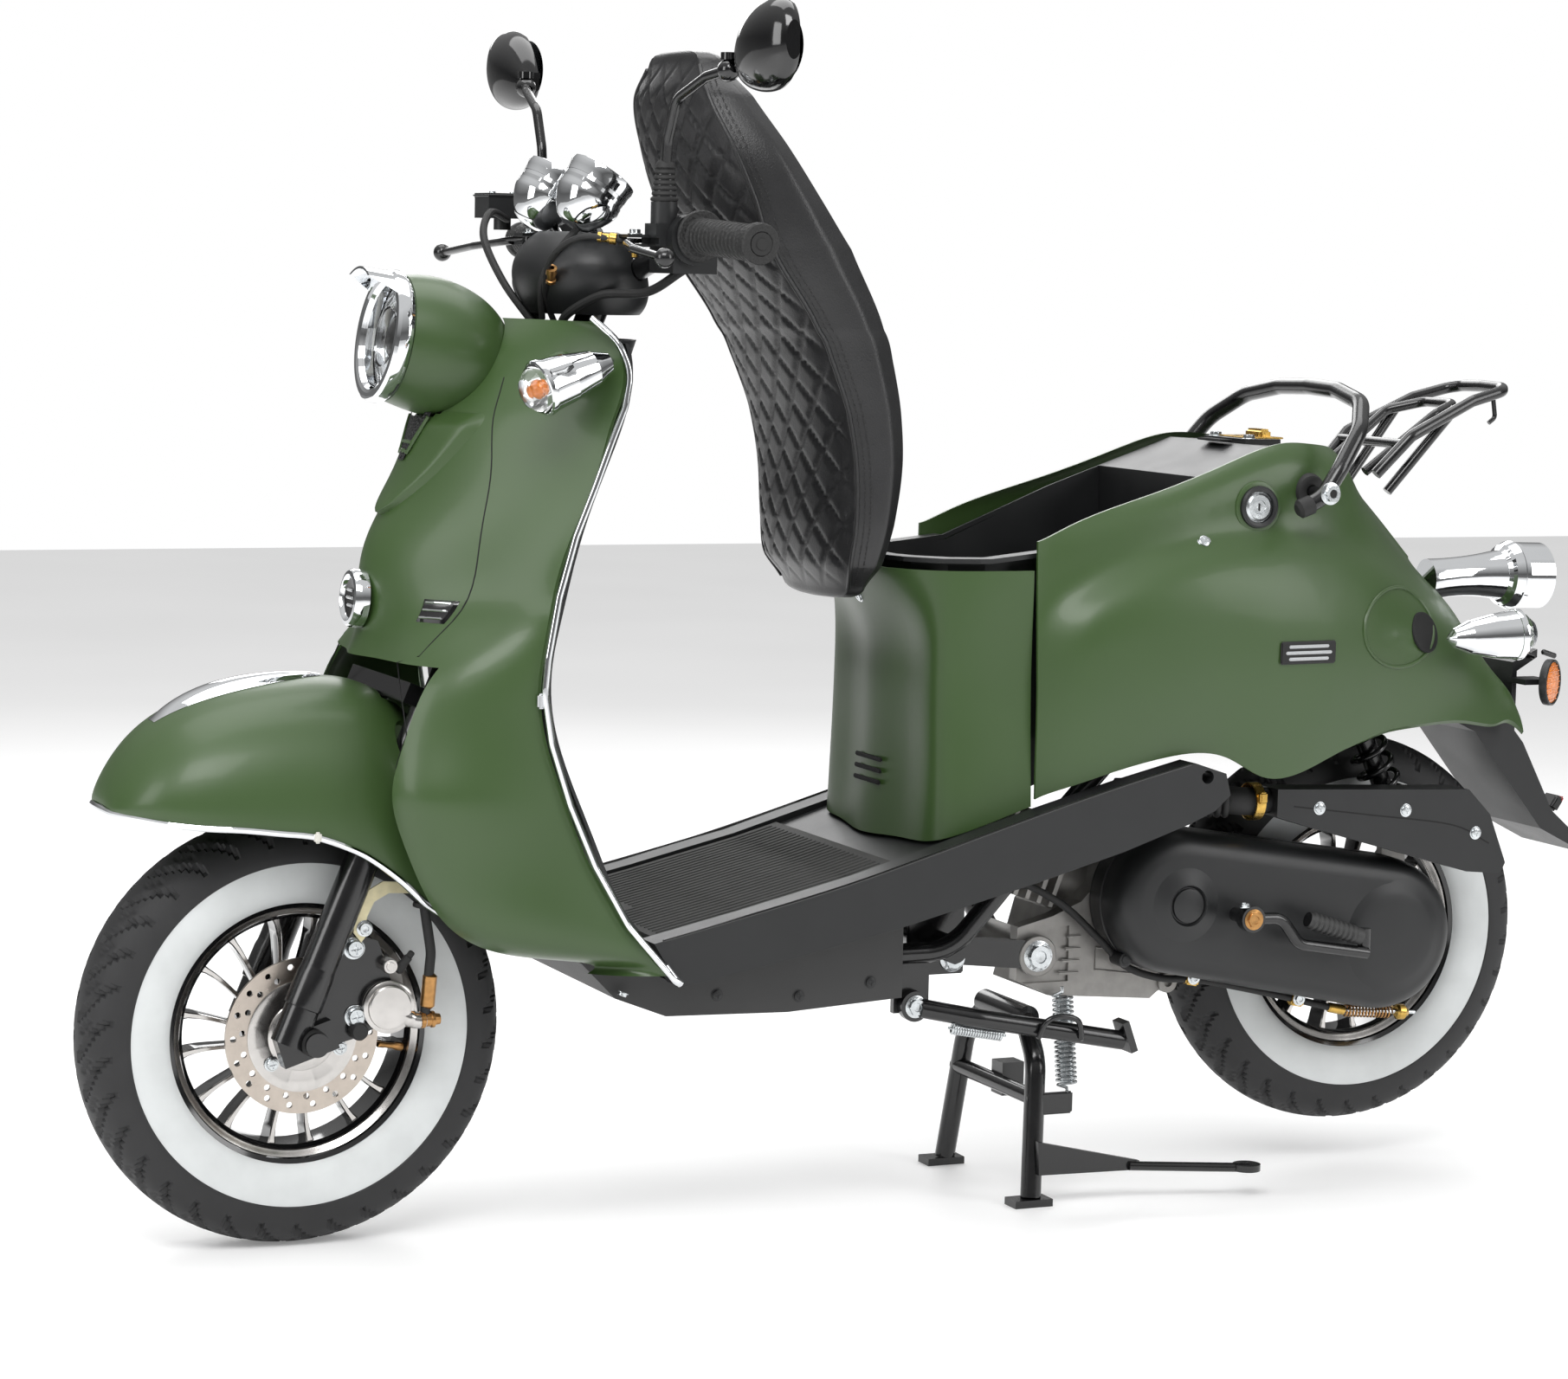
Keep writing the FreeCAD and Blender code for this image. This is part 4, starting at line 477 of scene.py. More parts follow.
# disc carrier: a slotted star plate held by three bolts
ring_rows = []
for k in range(120):
    a = 2 * math.pi * k / 120
    slot_phase = (k / 120 * 6) % 1.0
    inner = 33.0 if 0.22 < slot_phase < 0.78 else 16.0
    outer = 45.0 if 0.22 < slot_phase < 0.78 else 47.0
    ring_rows.append([(FX + r * math.cos(a), y, FZ + r * math.sin(a))
                      for r, y in ((inner, 46.6), (outer, 46.6), (54, 47.6), (56, 47.0), (56, 46.1), (inner, 46.1))])
verts, faces = lattice(ring_rows, close_u=True, close_v=True)
piece("disc_carrier_ring", verts, faces, MACHINED, "front_wheel", sharp=26)
lathe("disc_carrier_hub", [(14, 46.2), (34, 46.2), (35, 47.2), (33.5, 48.4), (24, 49.2), (21, 52), (14, 52)],
      (FX, 0, FZ), (0, 1, 0), MACHINED, "front_wheel")
for k in range(3):
    a = math.radians(200 + 120 * k)
    bolt("disc_bolt_%d" % k, (FX + 41 * math.cos(a), 47.4, FZ + 41 * math.sin(a)), (0, 1, 0), 5.6, 5.5, ZINC,
         "front_wheel", "cross")

# ---------------------------------------------------------------- fork, brake and fender dress

RAKE = math.radians(22.5)
STEER_UP = Vector((-math.sin(RAKE), 0, math.cos(RAKE)))


def leg_point(height, y):
    return Vector((629.0 - (height - 216) * math.tan(RAKE) + 35 / math.cos(RAKE), y, height))


for side, s in SIDES:
    low = leg_point(250, s * 75)
    lathe("fork_collar_" + side, [(17.4, 0), (19.0, 1), (19.2, 4), (18.6, 34), (17.6, 40), (17.4, 44)], low, STEER_UP,
          STEEL_BLACK, "fork")
    lathe("axle_nut_cap_" + side, [(12.0, 0), (13.6, 1), (13.4, 9), (10.8, 13.5), (5, 16), (0, 16.4)],
          (FX, s * 83.0, FZ), (0, s, 0), RUBBER, "fork")
for k, (x, z) in enumerate(((600, 306), (598, 238))):
    bolt("caliper_bolt_%d" % k, (x, 72.4, z), (0, 1, 0), 8.4, 8, ZINC, "fork", "cross")
bracket_points = [(583, 326), (592, 318), (588, 338), (581, 352), (566, 360), (528, 358), (528, 368), (572, 372),
                  (590, 362), (600, 344), (602, 322), (594, 312)]
rows = [[(x, y, z) for x, z in bracket_points] for y in (75.0, 77.4)]
verts, faces = lattice(rows, close_u=True, cap_ends=True)
piece("hose_bracket", verts, faces, CREAM, "fork")
bolt("hose_bracket_bolt", (591, 77.6, 326), (0, 1, 0), 6.2, 5, ZINC, "fork")
lathe("caliper_cap", [(25.2, -6), (26.2, -5), (26.4, 0), (24.0, 1.2), (22.6, 1.4), (22.0, 3.6), (20.4, 4.4), (0, 4.9)],
      (566, 83, 247), (0, 1, 0), [MACHINED], "fork", 56, 24)
lathe("caliper_pin", [(0, 0), (7.6, 0), (7.8, 3), (7.8, 24), (6.8, 26), (4.6, 26), (4.2, 27), (0, 27)],
      (566, 60, 288), (0, 1, 0), MACHINED, "fork", 32)
lathe("caliper_pin_low", [(0, 0), (8.6, 0), (9, 2), (9, 18), (7.6, 21), (0, 22)], (596, 64, 224), (0, 1, 0), RUBBER,
      "fork", 32)
rod("caliper_arm", [(552, 78, 238), (538, 80, 232), (528, 80, 232)], [9.5, 8.5, 7.5], MACHINED, "fork")
lathe("banjo_bolt", [(0, -2), (8.6, -2), (8.6, 2), (7.2, 3), (7.2, 8), (8.4, 9), (8.4, 12), (6, 13), (5.4, 18), (0, 18)],
      (531, 80, 232), (-1, 0, 0), BRASS, "fork", 28)
rod("bleed_nipple", [(556, 76, 282), (548, 78, 292), (542, 79, 300)], [5.2, 4.4, 3.4], RUBBER, "fork")
rod("hose_ferrule", [(526, 80.4, 246), (524, 82, 276)], 7.4, BRASS, "fork")
rod("hose_sleeve", [(533.5, 86, 348), (532, 85.4, 362), (529, 84.4, 384)], 8.2, RUBBER, "fork", sides=20)
for k, t in enumerate((348, 381)):
    lathe("hose_sleeve_lip_%d" % k, [(7.6, -3), (10.0, -2.2), (10.4, 0), (10.0, 2.2), (7.6, 3)],
          (533.5 - k * 4.2, 86 - k * 1.4, t), (-0.1, 0, 1), RUBBER, "fork", 28)

FENDER_LIP = [
    (832, 443, 44), (813, 441, 74), (790, 438, 92), (758, 435, 105), (724, 433, 111), (689, 429, 114), (652, 424, 116),
    (614, 410, 118), (590, 396, 118), (565, 377, 117), (537, 352, 114), (500, 331, 108), (461, 313, 100),
    (426, 298, 88),
]
rim_line = [(x, half_w, z) for x, z, half_w in FENDER_LIP]
left_edge = [(838, 0, 444.5), (836.5, 22, 444)] + rim_line
strip = [(x, -y, z) for x, y, z in left_edge[:0:-1]] + left_edge
rod("fender_lip_strip", strip, 3.4, CHROME, "steering", per_run=5, sides=10)
for side, s in SIDES:
    for k, at in enumerate((rim_line[6], rim_line[11])):
        block("fender_clip_%s_%d" % (side, k), (at[0], s * (at[1] + 2.2), at[2]), (7, 7, 11), TIP, "steering", 2.0)

# teardrop ornament on the crest of the fender
ornament_rows = []
for i in range(25):
    t = i / 24
    x = 616 + (786 - 616) * t
    width = 27 * math.sin(math.pi * min(t * 0.86 + 0.06, 1.0)) ** 0.7 * (0.5 + 0.62 * t) + 0.8
    row = []
    for j in range(-8, 9):
        u = j / 8
        p, n = surface("front_fender", (x, u * width, 700), (0, 0, -1))
        row.append(p + n * (0.4 + 8.5 * (1 - u * u) * math.sin(math.pi * min(t + 0.02, 1.0)) ** 0.6))
    ornament_rows.append(row)
verts, faces = lattice(ornament_rows)
piece("fender_ornament", verts, faces, CHROME, "steering")

# ---------------------------------------------------------------- headlight

LAMP_AXIS = Vector((math.cos(math.radians(9)), 0, math.sin(math.radians(9))))
LAMP = Vector((542, 0, 903))
lathe("headlight_reflector", [(51.6, -2), (50, -8), (44, -18), (34, -28), (22, -34), (18, -35)], LAMP, LAMP_AXIS,
             REFLECTOR, "chassis", 72)
lathe("projector_lens", [(0, 5), (12, 3.4), (20, -1), (24, -7), (24, -10), (27, -10), (27, -16), (25, -34)],
      LAMP, LAMP_AXIS, [GLOSS], "chassis", 56)
lathe("projector_ring", [(24.5, -7), (25, -3.5), (28, -3), (30, -5), (30, -14), (28, -15)], LAMP, LAMP_AXIS, CHROME,
      "chassis", 56)
for s in (1, -1):
    rod("lamp_light_bar_%d" % (s + 1), [LAMP + LAMP_AXIS * -6 + Vector((0, s * 40 * math.cos(t), 40 * math.sin(t)))
                                        for t in (-0.9, -0.45, 0, 0.45, 0.9)], 2.6, TIP, "chassis")
lathe("headlight_ring_lip", [(52.6, 1.2), (56, 3.6), (60.5, 3.2), (65.6, 5.2), (66.6, 8.5), (66.0, 15.5), (63.8, 18.8),
                             (58, 19.2), (54.2, 17.8), (52.4, 14)], LAMP, LAMP_AXIS, CHROME, "chassis", 96, 24)

# ---------------------------------------------------------------- leg shield dress

FORE = (-1, 0, 0)
for side, s in SIDES:
    seam("shield_seam_" + side, "leg_shield",
         [(700, s * 84, 868), (700, s * 96, 820), (700, s * 112, 760), (700, s * 120, 690), (700, s * 122, 620),
          (700, s * 116, 560), (700, s * 104, 520)], FORE, "chassis", 1.3)
beak_rows = []
for i in range(33):
    t = i / 32
    z = 832 - (832 - 728) * t
    wide = 92 * (1 - t) ** 0.62 + 1.2
    row = []
    for j in range(-14, 15):
        u = j / 14
        p, n = surface("leg_shield", (640, u * wide, z), FORE)
        fade = min(1.0, (1 - abs(u)) * 5.0)
        lift = 7.5 * (fade * fade * (3 - 2 * fade)) * min(1.0, t * 6 + 0.2)
        row.append(p + n * (lift - 0.8))
    beak_rows.append(row)
verts, faces = lattice(beak_rows)
piece("nose_beak", verts, faces, GREEN, "chassis", sharp=60)
vent_rows = []
for i in range(9):
    t = i / 8
    z = 832 - 34 * t
    wide = 30 - 17 * t
    row = []
    for j in range(-8, 9):
        u = j / 8
        p, n = surface("leg_shield", (640, u * wide, z), FORE)
        row.append(p + n * (8.6 - 1.2 * math.cos(u * math.pi / 2) * math.sin(t * math.pi)))
    vent_rows.append(row)
verts, faces = lattice(vent_rows)
MESH = add_second_bump(finish("vent_mesh", rgb(18, 18, 19), 0.5, mottle=(500.0, 0.5), grain=(900.0, 0.3, 0.0004)),
                       330.0, 1.0, 0.002)
piece("nose_vent", verts, faces, MESH, "chassis")
edge = [vent_rows[0][j] for j in range(0, 17, 2)] + [vent_rows[i][16] for i in range(2, 9, 2)]
edge += [vent_rows[8][j] for j in range(14, -1, -2)] + [vent_rows[i][0] for i in range(6, 1, -2)]
rod("nose_vent_rim", edge, 1.8, GREEN, "chassis", per_run=3, sides=8, closed=True)

badge_at = Vector((577, 0, 645))
badge_axis = Vector((1, 0, 0.08)).normalized()
lathe("horn_emblem_ring", [(0, 4.4), (16, 4.8), (19, 5.4), (20.5, 8.8), (23.5, 11.2), (27, 10.4), (29, 7), (29.4, 2),
                           (29.4, -4), (26, -5)], badge_at, badge_axis, CHROME, "chassis", 72, 30)
lathe("horn_emblem_field", [(0, 6.4), (9, 6.6), (15, 7.0), (19, 7.6), (19.6, 6.2)], badge_at, badge_axis, GLOSS,
      "chassis", 56)
for k in (-1, 0, 1):
    block("horn_emblem_bar_%d" % (k + 1), badge_at + badge_axis * 8.0 + Vector((0, 0, k * 7.6)),
          (2.0, 22 - 5 * abs(k), 3.0), CHROME, "chassis", 0.8)

p, n = surface("leg_shield", (700, 116, 625), FORE)
for side, s in SIDES:
    rows = []
    for i in range(9):
        row = []
        for j in range(13):
            u, v = j / 6 - 1, i / 4 - 1
            q, m = surface("leg_shield", (700, s * (86 + 31 * (u + 1) * 0.5), 640 + 11 * v), FORE)
            edge_fade = min(1.0, (1 - abs(u)) * 6, (1 - abs(v)) * 4)
            row.append(q + m * (0.1 + 2.6 * edge_fade))
        rows.append(row)
    verts, faces = lattice(rows)
    piece("shield_plate_" + side, verts, faces, GLOSS, "chassis")
    for k in range(3):
        line = []
        for j in range(7):
            q, m = surface("leg_shield", (700, s * (90 + 3.7 * j), 647.5 - 7.5 * k), FORE)
            line.append(q + m * 3.0)
        rod("shield_plate_bar_%s_%d" % (side, k), line, 1.3, CHROME, "chassis", sides=8)
    block("shield_clip_" + side, (452, s * 191, 560), (8, 7, 15), CHROME, "chassis", 2.0)
    rod("shield_strip_tail_" + side, [(318, s * 192, 294), (308, s * 194, 281), (301, s * 190, 276)], 4.4, CHROME,
        "chassis")
    bolt("shield_screw_" + side, (345, s * 150, 262), (0.4, 0, -1), 4.6, 4, ZINC, "chassis", "cross")

# turn signals: chrome rim ring, reflector and bulb in each cup, amber at the front and clear at the rear, and a green
# socket lip around each front cup
SIGNALS = (("front", (462, 205, 862), (-1, -0.12, 0.35), 1), ("rear", (-672, 178, 604), (1, -0.12, -0.05), -1))
for end, at, back, way in SIGNALS:
    for side, s in SIDES:
        centre = Vector((at[0], s * at[1], at[2]))
        axis = Vector((back[0], s * back[1], back[2])).normalized()
        tag = end + "_" + side
        lathe("signal_ring_" + tag, [(23.6, -1.5), (25.5, -2.6), (27.6, -1.6), (28.0, 1.5), (27.2, 5), (25, 6)], centre,
              axis, CHROME, "chassis", 48)
        lathe("signal_reflector_" + tag, [(22, 1), (19, 12), (12, 21), (4, 24), (0, 24)], centre, axis, REFLECTOR,
              "chassis", 40)
        lathe("signal_bulb_" + tag, [(0, -9), (4.5, -7.6), (7, -3), (7, 4), (4.5, 9), (4.5, 20)], centre, axis,
              ORANGE if end == "front" else CLEAR, "chassis", 28)
        if end == "front":
            rod("signal_socket_" + tag, [centre + axis * 50 + Vector((0, s * -15, 0)),
                                         centre + axis * 46 + Vector((0, s * -34, 0)),
                                         centre + axis * 44 + Vector((0, s * -60, -4))], [12, 16, 21], GREEN,
                "chassis", sides=24)

# ---------------------------------------------------------------- handlebar and controls

MACHINE_GRIP = add_second_bump(finish("grip_rubber", rgb(28, 28, 28), 0.6, mottle=(60.0, 0.1),
                                      grain=(1500.0, 0.5, 0.0004)), 300.0, 0.8, 0.0012)
for side, s in SIDES:
    start, end = Vector((299, s * 190, 1010)), Vector((290, s * 326, 1003))
    axis = (end - start).normalized()
    profile = [(11.2, 8), (24.6, 8), (25.2, 9.4), (25.2, 11.6), (24.2, 13), (18.4, 13.4), (17.2, 15)]
    for k in range(13):
        h = 20 + k * 8.4
        profile += [(16.5, h - 3.4), (17.5, h - 2.4), (17.7, h + 2.4), (16.5, h + 3.4)]
    profile += [(17, 126), (19.6, 128), (20.0, 130), (20.0, 137.6), (18.6, 139.4), (12, 139.8), (11.2, 139)]
    body = "steering" if s > 0 else "throttle_grip"
    grip = lathe("rubber_grip_" + side, profile, start, axis, MACHINE_GRIP, body, 48, 24)
    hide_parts("hand_grip" if s > 0 else "throttle_grip")
    lathe("grip_end_" + side, [(0, 141.6), (5.4, 141.4), (6, 140.2), (11, 140), (11.2, 136)], start, axis, RUBBER, body,
          32)
    # mirror boot with bellows rings
    profile = [(12.6, 0), (13.6, 1), (13.6, 3)]
    for k in range(6):
        h = 5 + k * 5.2
        profile += [(12.8 - k * 0.6, h - 1.4), (11.2 - k * 0.6, h), (12.6 - k * 0.6, h + 1.6)]
    profile += [(8.2, 37), (5.4, 40)]
    lathe("mirror_boot_" + side, profile, (325, s * 170, 1042.4), (0, 0, 1), RUBBER, "steering", 40, 50)
    lathe("mirror_ball_" + side, [(4.6, -12), (8, -9.6), (10.4, -4), (10.8, 2), (8.4, 7.6), (5, 10)], (306, s * 280, 1165.5),
          (-0.1, s * 1, 0.25), GLOSS, "steering", 32)
    glass = [Vector((279.5, s * (346 + 50 * math.cos(a)), 1185.5 + 33 * math.sin(a))) for a in
             [2 * math.pi * k / 40 for k in range(40)]]
    centre = Vector((281.0, s * 346, 1185.5))
    rows = [[centre + (q - centre) * f + Vector((-(f * f) * -1.2, 0, 0)) for q in glass] for f in (1.0, 0.98, 0.6, 0.3, 0.02)]
    verts, faces = lattice(rows, close_u=True)
    piece("mirror_glass_" + side, verts, faces, MIRROR, "mirror_head_" + side)
    # switch housing seam ring, clamp screws, and the lever pivot bolt and nut
    lathe("pod_seam_" + side, [(24.9, -1.0), (25.6, -0.6), (25.6, 0.6), (24.9, 1.0)], (302.6, s * 178, 1006), (0, 1, 0),
          RUBBER, "steering", 48)
    bolt("pod_screw_" + side, (302, s * 170, 980.5), (0, 0, -1), 3.6, 3, ZINC, "steering", "cross")
    bolt("lever_pivot_" + side, (347, s * 150, 1010), (0, 0, 1), 5.4, 5, ZINC, "steering")
    lathe("lever_nut_" + side, [(0, 0), (6, 0), (6, 5), (3.4, 5.4), (3.2, 10), (0, 10)], (347, s * 150, 998), (0, 0, -1),
          GOLD, "steering", 24)
block("indicator_light", (275.6, 150, 992), (7, 22, 5), ORANGE, "steering", 1.6)
for k, (y, z) in enumerate(((168, 998), (158, 1017))):
    bolt("pod_face_screw_%d" % k, (280, y, z), (-1, 0, 0), 3.4, 2.6, ZINC, "steering", "cross")
block("reservoir_cap", (364, -186, 1048.4), (50, 48, 5), BLACK, "steering", 1.8)
for k, (dx, dy) in enumerate(((-17, -16), (17, 16))):
    bolt("reservoir_screw_%d" % k, (364 + dx, -186 + dy, 1050.8), (0, 0, 1), 3.2, 2, ZINC, "steering", "cross")

# cables, running from the controls into the neck and the shield
CABLES = (("brake_left", [(352, 140, 1004), (392, 118, 1006), (408, 80, 984), (398, 40, 948), (378, 20, 915)], 3.2),
          ("throttle_pull", [(306, -160, 984), (340, -120, 962), (378, -86, 972), (398, -48, 956), (388, -18, 920)], 3.0),
          ("throttle_return", [(300, -156, 984), (330, -112, 954), (366, -82, 960), (390, -40, 940), (384, -8, 914)], 2.8),
          ("brake_hose_top", [(366, -166, 1024), (398, -128, 1030), (420, -84, 1004), (414, -40, 960), (392, -8, 918)], 4.0),
          ("switch_loom_left", [(296, 150, 976), (318, 112, 954), (356, 84, 950), (380, 54, 930), (378, 30, 912)], 4.6),
          ("switch_loom_right", [(296, -150, 976), (314, -108, 950), (350, -78, 944), (374, -50, 926), (372, -24, 908)], 4.4),
          ("speedometer", [(366, 60, 1022), (392, 56, 992), (404, 44, 960), (396, 26, 925)], 3.4))
for name, points, radius in CABLES:
    rod("cable_" + name, points, radius, RUBBER, "steering", per_run=10, sides=10)
for k, (at, axis) in enumerate((((360, 136, 1005), (0.8, -0.5, 0.1)), ((404, 72, 976), (-0.2, -0.6, -0.7)))):
    lathe("cable_adjuster_%d" % k, [(3, 0), (5.6, 0.6), (5.8, 7), (4.4, 8), (4.2, 15), (5.2, 15.6), (5.2, 19), (3, 19.4)],
          at, axis, GOLD if k == 0 else BRASS, "steering", 24)

# gauges: chrome cup, bezel, dial and needle
for side, s in SIDES:
    at, axis = Vector((366, s * 62, 1040)), Vector((-0.55, 0, 0.835)).normalized()
    lathe("gauge_bezel_" + side, [(29.2, 22), (29, 30), (30, 34), (32, 36), (34.4, 35), (34.8, 31), (33.8, 27),
                                  (33.4, 20)], at, axis, CHROME, "steering", 64, 24)
    lathe("gauge_band_" + side, [(31.2, -3), (33.2, 2), (33.9, 6), (33.4, 10), (33.6, 12)], at, axis, CHROME, "steering",
          64, 40)
    lathe("gauge_cup_skin_" + side, [(0, -27), (10, -26.6), (18.4, -23), (26, -13), (31, -3.6), (32.6, 2)], at, axis,
          CHROME, "steering", 64, 40)
    lathe("gauge_dial_" + side, [(0, 24), (22, 24), (28.6, 24.4), (29, 22.6)], at, axis, DIAL, "steering", 48)
    _, across, up = frame_of(axis)
    for k in range(11):
        a = math.radians(-130 + 26 * k)
        mark = at + axis * 24.4 + (across * math.cos(a) + up * math.sin(a)) * 23
        rod("gauge_mark_%s_%d" % (side, k), [mark, mark + (across * math.cos(a) + up * math.sin(a)) * 3.6], 0.55,
            PAINT_WHITE, "steering", per_run=2, sides=6)
    needle = (across * math.cos(2.4) + up * math.sin(2.4))
    rod("gauge_needle_" + side, [at + axis * 25.6 - needle * 4, at + axis * 25.6 + needle * 19], [1.3, 0.5], RED,
        "steering", per_run=4, sides=8)
    lathe("gauge_glass_" + side, [(0, 31.6), (18, 31), (28.8, 29), (28.9, 27.6)], at, axis, CLEAR, "steering", 48)
rod("gauge_bracket", [(350, -60, 1012), (356, -30, 1004), (358, 0, 1002), (356, 30, 1004), (350, 60, 1012)], 5,
    STEEL_BLACK, "steering")

# ---------------------------------------------------------------- seat

SEAT = [
    (652, 60, 80, 92, 88), (680, 52, 90, 108, 116), (722, 44, 90, 116, 128), (782, 38, 93, 118, 132),
    (837, 42, 104, 128, 134), (883, 52, 122, 144, 136), (920, 65, 142, 162, 138), (1000, 104, 194, 212, 140),
    (1050, 138, 214, 240, 138), (1100, 170, 234, 258, 128), (1150, 201, 252, 264, 104), (1186, 222, 250, 252, 70),
]


def seat_row(z):
    """Underside, seam and crown X and the half width of the seat at a height, on a soft curve."""
    z = min(max(z, SEAT[0][0]), SEAT[-1][0])
    for i in range(len(SEAT) - 1):
        if z <= SEAT[i + 1][0]:
            break
    t = (z - SEAT[i][0]) / (SEAT[i + 1][0] - SEAT[i][0])
    before, after = SEAT[max(i - 1, 0)], SEAT[min(i + 2, len(SEAT) - 1)]
    out = []
    for k in range(1, 5):
        p0, p1, p2, p3 = before[k], SEAT[i][k], SEAT[i + 1][k], after[k]
        out.append(0.5 * (2 * p1 + (p2 - p0) * t + (2 * p0 - 5 * p1 + 4 * p2 - p3) * t * t
                          + (3 * p1 - p0 - 3 * p2 + p3) * t ** 3))
    return out


def quilt(u, v):
    """Height of the padding between diamond stitch lines, 0 on a line and 1 in the middle of a diamond."""
    a = abs(((u + v) % 1.0) - 0.5) * 2
    b = abs(((u - v) % 1.0) - 0.5) * 2
    edge = min(1 - a, 1 - b)
    return 1 - (1 - min(edge * 2.4, 1.0)) ** 2.4


seat_rows = []
STEPS_Z, STEPS_Y = 230, 96
length = 0.0
last = None
for i in range(STEPS_Z + 1):
    z = 652 + (1186 - 652) * i / STEPS_Z
    x_under, x_seam, x_crown, half_w = seat_row(z)
    here = Vector((x_crown, 0, z))
    if last is not None:
        length += (here - last).length
    last = here
    end = min(i, STEPS_Z - i) / STEPS_Z
    row = []
    for j in range(STEPS_Y + 1):
        s = j / STEPS_Y * 2 - 1
        if abs(s) <= 0.62:
            q = s / 0.62
            y = half_w * 0.93 * q
            x = x_seam + (x_crown - x_seam) * (1 - abs(q) ** 2.6)
            border = min(1.0, (1 - abs(q)) * 7.0) * min(1.0, end * 14.0)
            puff = quilt(length / 50.0, y / 42.0)
            x += -0.8 + border * (puff * 4.2 - 2.0)
            if abs(q) > 0.988:
                x -= 1.4
        else:
            q = (abs(s) - 0.62) / 0.38
            y = half_w * (0.93 + 0.07 * math.sin(min(q * 1.5, 1.0) * math.pi / 2) - 0.10 * max(q - 0.66, 0) / 0.34)
            x = x_seam + (x_under - x_seam) * q ** 0.92
            y = math.copysign(y + 0.8 * math.sin(q * math.pi) ** 0.5, s)
        row.append((x, y, z))
    seat_rows.append(row)
verts, faces = lattice(seat_rows)
top_z = seat_rows[-1][STEPS_Y // 2][2]
for row, rise in ((seat_rows[0], -1), (seat_rows[-1], 1)):
    ring = [Vector(p) for p in row]
    middle = sum(ring, Vector()) / len(ring)
    previous = [(k if rise < 0 else len(verts) - len(row) + k) for k in range(len(row))]
    if rise > 0:
        previous = [STEPS_Z * len(row) + k for k in range(len(row))]
    for scale, lift in ((0.93, 4.0), (0.8, 7.0), (0.55, 9.0), (0.25, 9.8), (0.03, 10.0)):
        start = len(verts)
        for p in ring:
            verts.append(middle + (p - middle) * scale + Vector((0, 0, rise * lift)))
        for k in range(len(row) - 1):
            faces.append((previous[k], previous[k + 1], start + k + 1, start + k))
        previous = [start + k for k in range(len(row))]
seat = piece("seat_cover", verts, faces, VINYL, "seat", sharp=75)
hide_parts("seat_cushion")


def seat_edge(s, q_out, push):
    """A line along the seam of the seat, from the front lip over the back."""
    line = []
    for i in range(0, STEPS_Z + 1, 3):
        z = 656 + (1184 - 656) * i / STEPS_Z
        x_under, x_seam, x_crown, half_w = seat_row(z)
        line.append((x_seam + push, s * half_w * q_out, z))
    return line


for side, s in SIDES:
    rod("seat_piping_" + side, seat_edge(s, 0.945, -0.8), 2.3, VINYL, "seat", per_run=2, sides=10)
    for row_index, (q_out, push) in enumerate(((0.975, -7.0), (0.985, -13.0))):
        line = smooth_line(seat_edge(s, q_out, push), 3)
        verts, faces = [], []
        travelled = 0.0
        for i in range(len(line) - 1):
            a, b = line[i], line[i + 1]
            travelled += (b - a).length
            if int(travelled / 4.2) != int((travelled - (b - a).length) / 4.2):
                way = (b - a).normalized()
                out = Vector((0.05, s, 0))
                up_way = way.cross(out).normalized()
                base = a + out * (half_w * 0.0 + 1.6)
                start = len(verts)
                for d in (-1.4, -0.7, 0.7, 1.4):
                    w = 0.55 if abs(d) < 1 else 0.2
                    h = 0.55 if abs(d) < 1 else -0.5
                    for across in (-w, 0, w):
                        verts.append(base + way * d + up_way * across + out * (h if across == 0 else h - 0.45))
                for r in range(3):
                    for c in range(2):
                        faces.append((start + r * 3 + c, start + r * 3 + c + 1, start + r * 3 + c + 4, start + r * 3 + c + 3))
        piece("seat_stitch_%s_%d" % (side, row_index), verts, faces, THREAD, "seat")

# ---------------------------------------------------------------- rear body dress

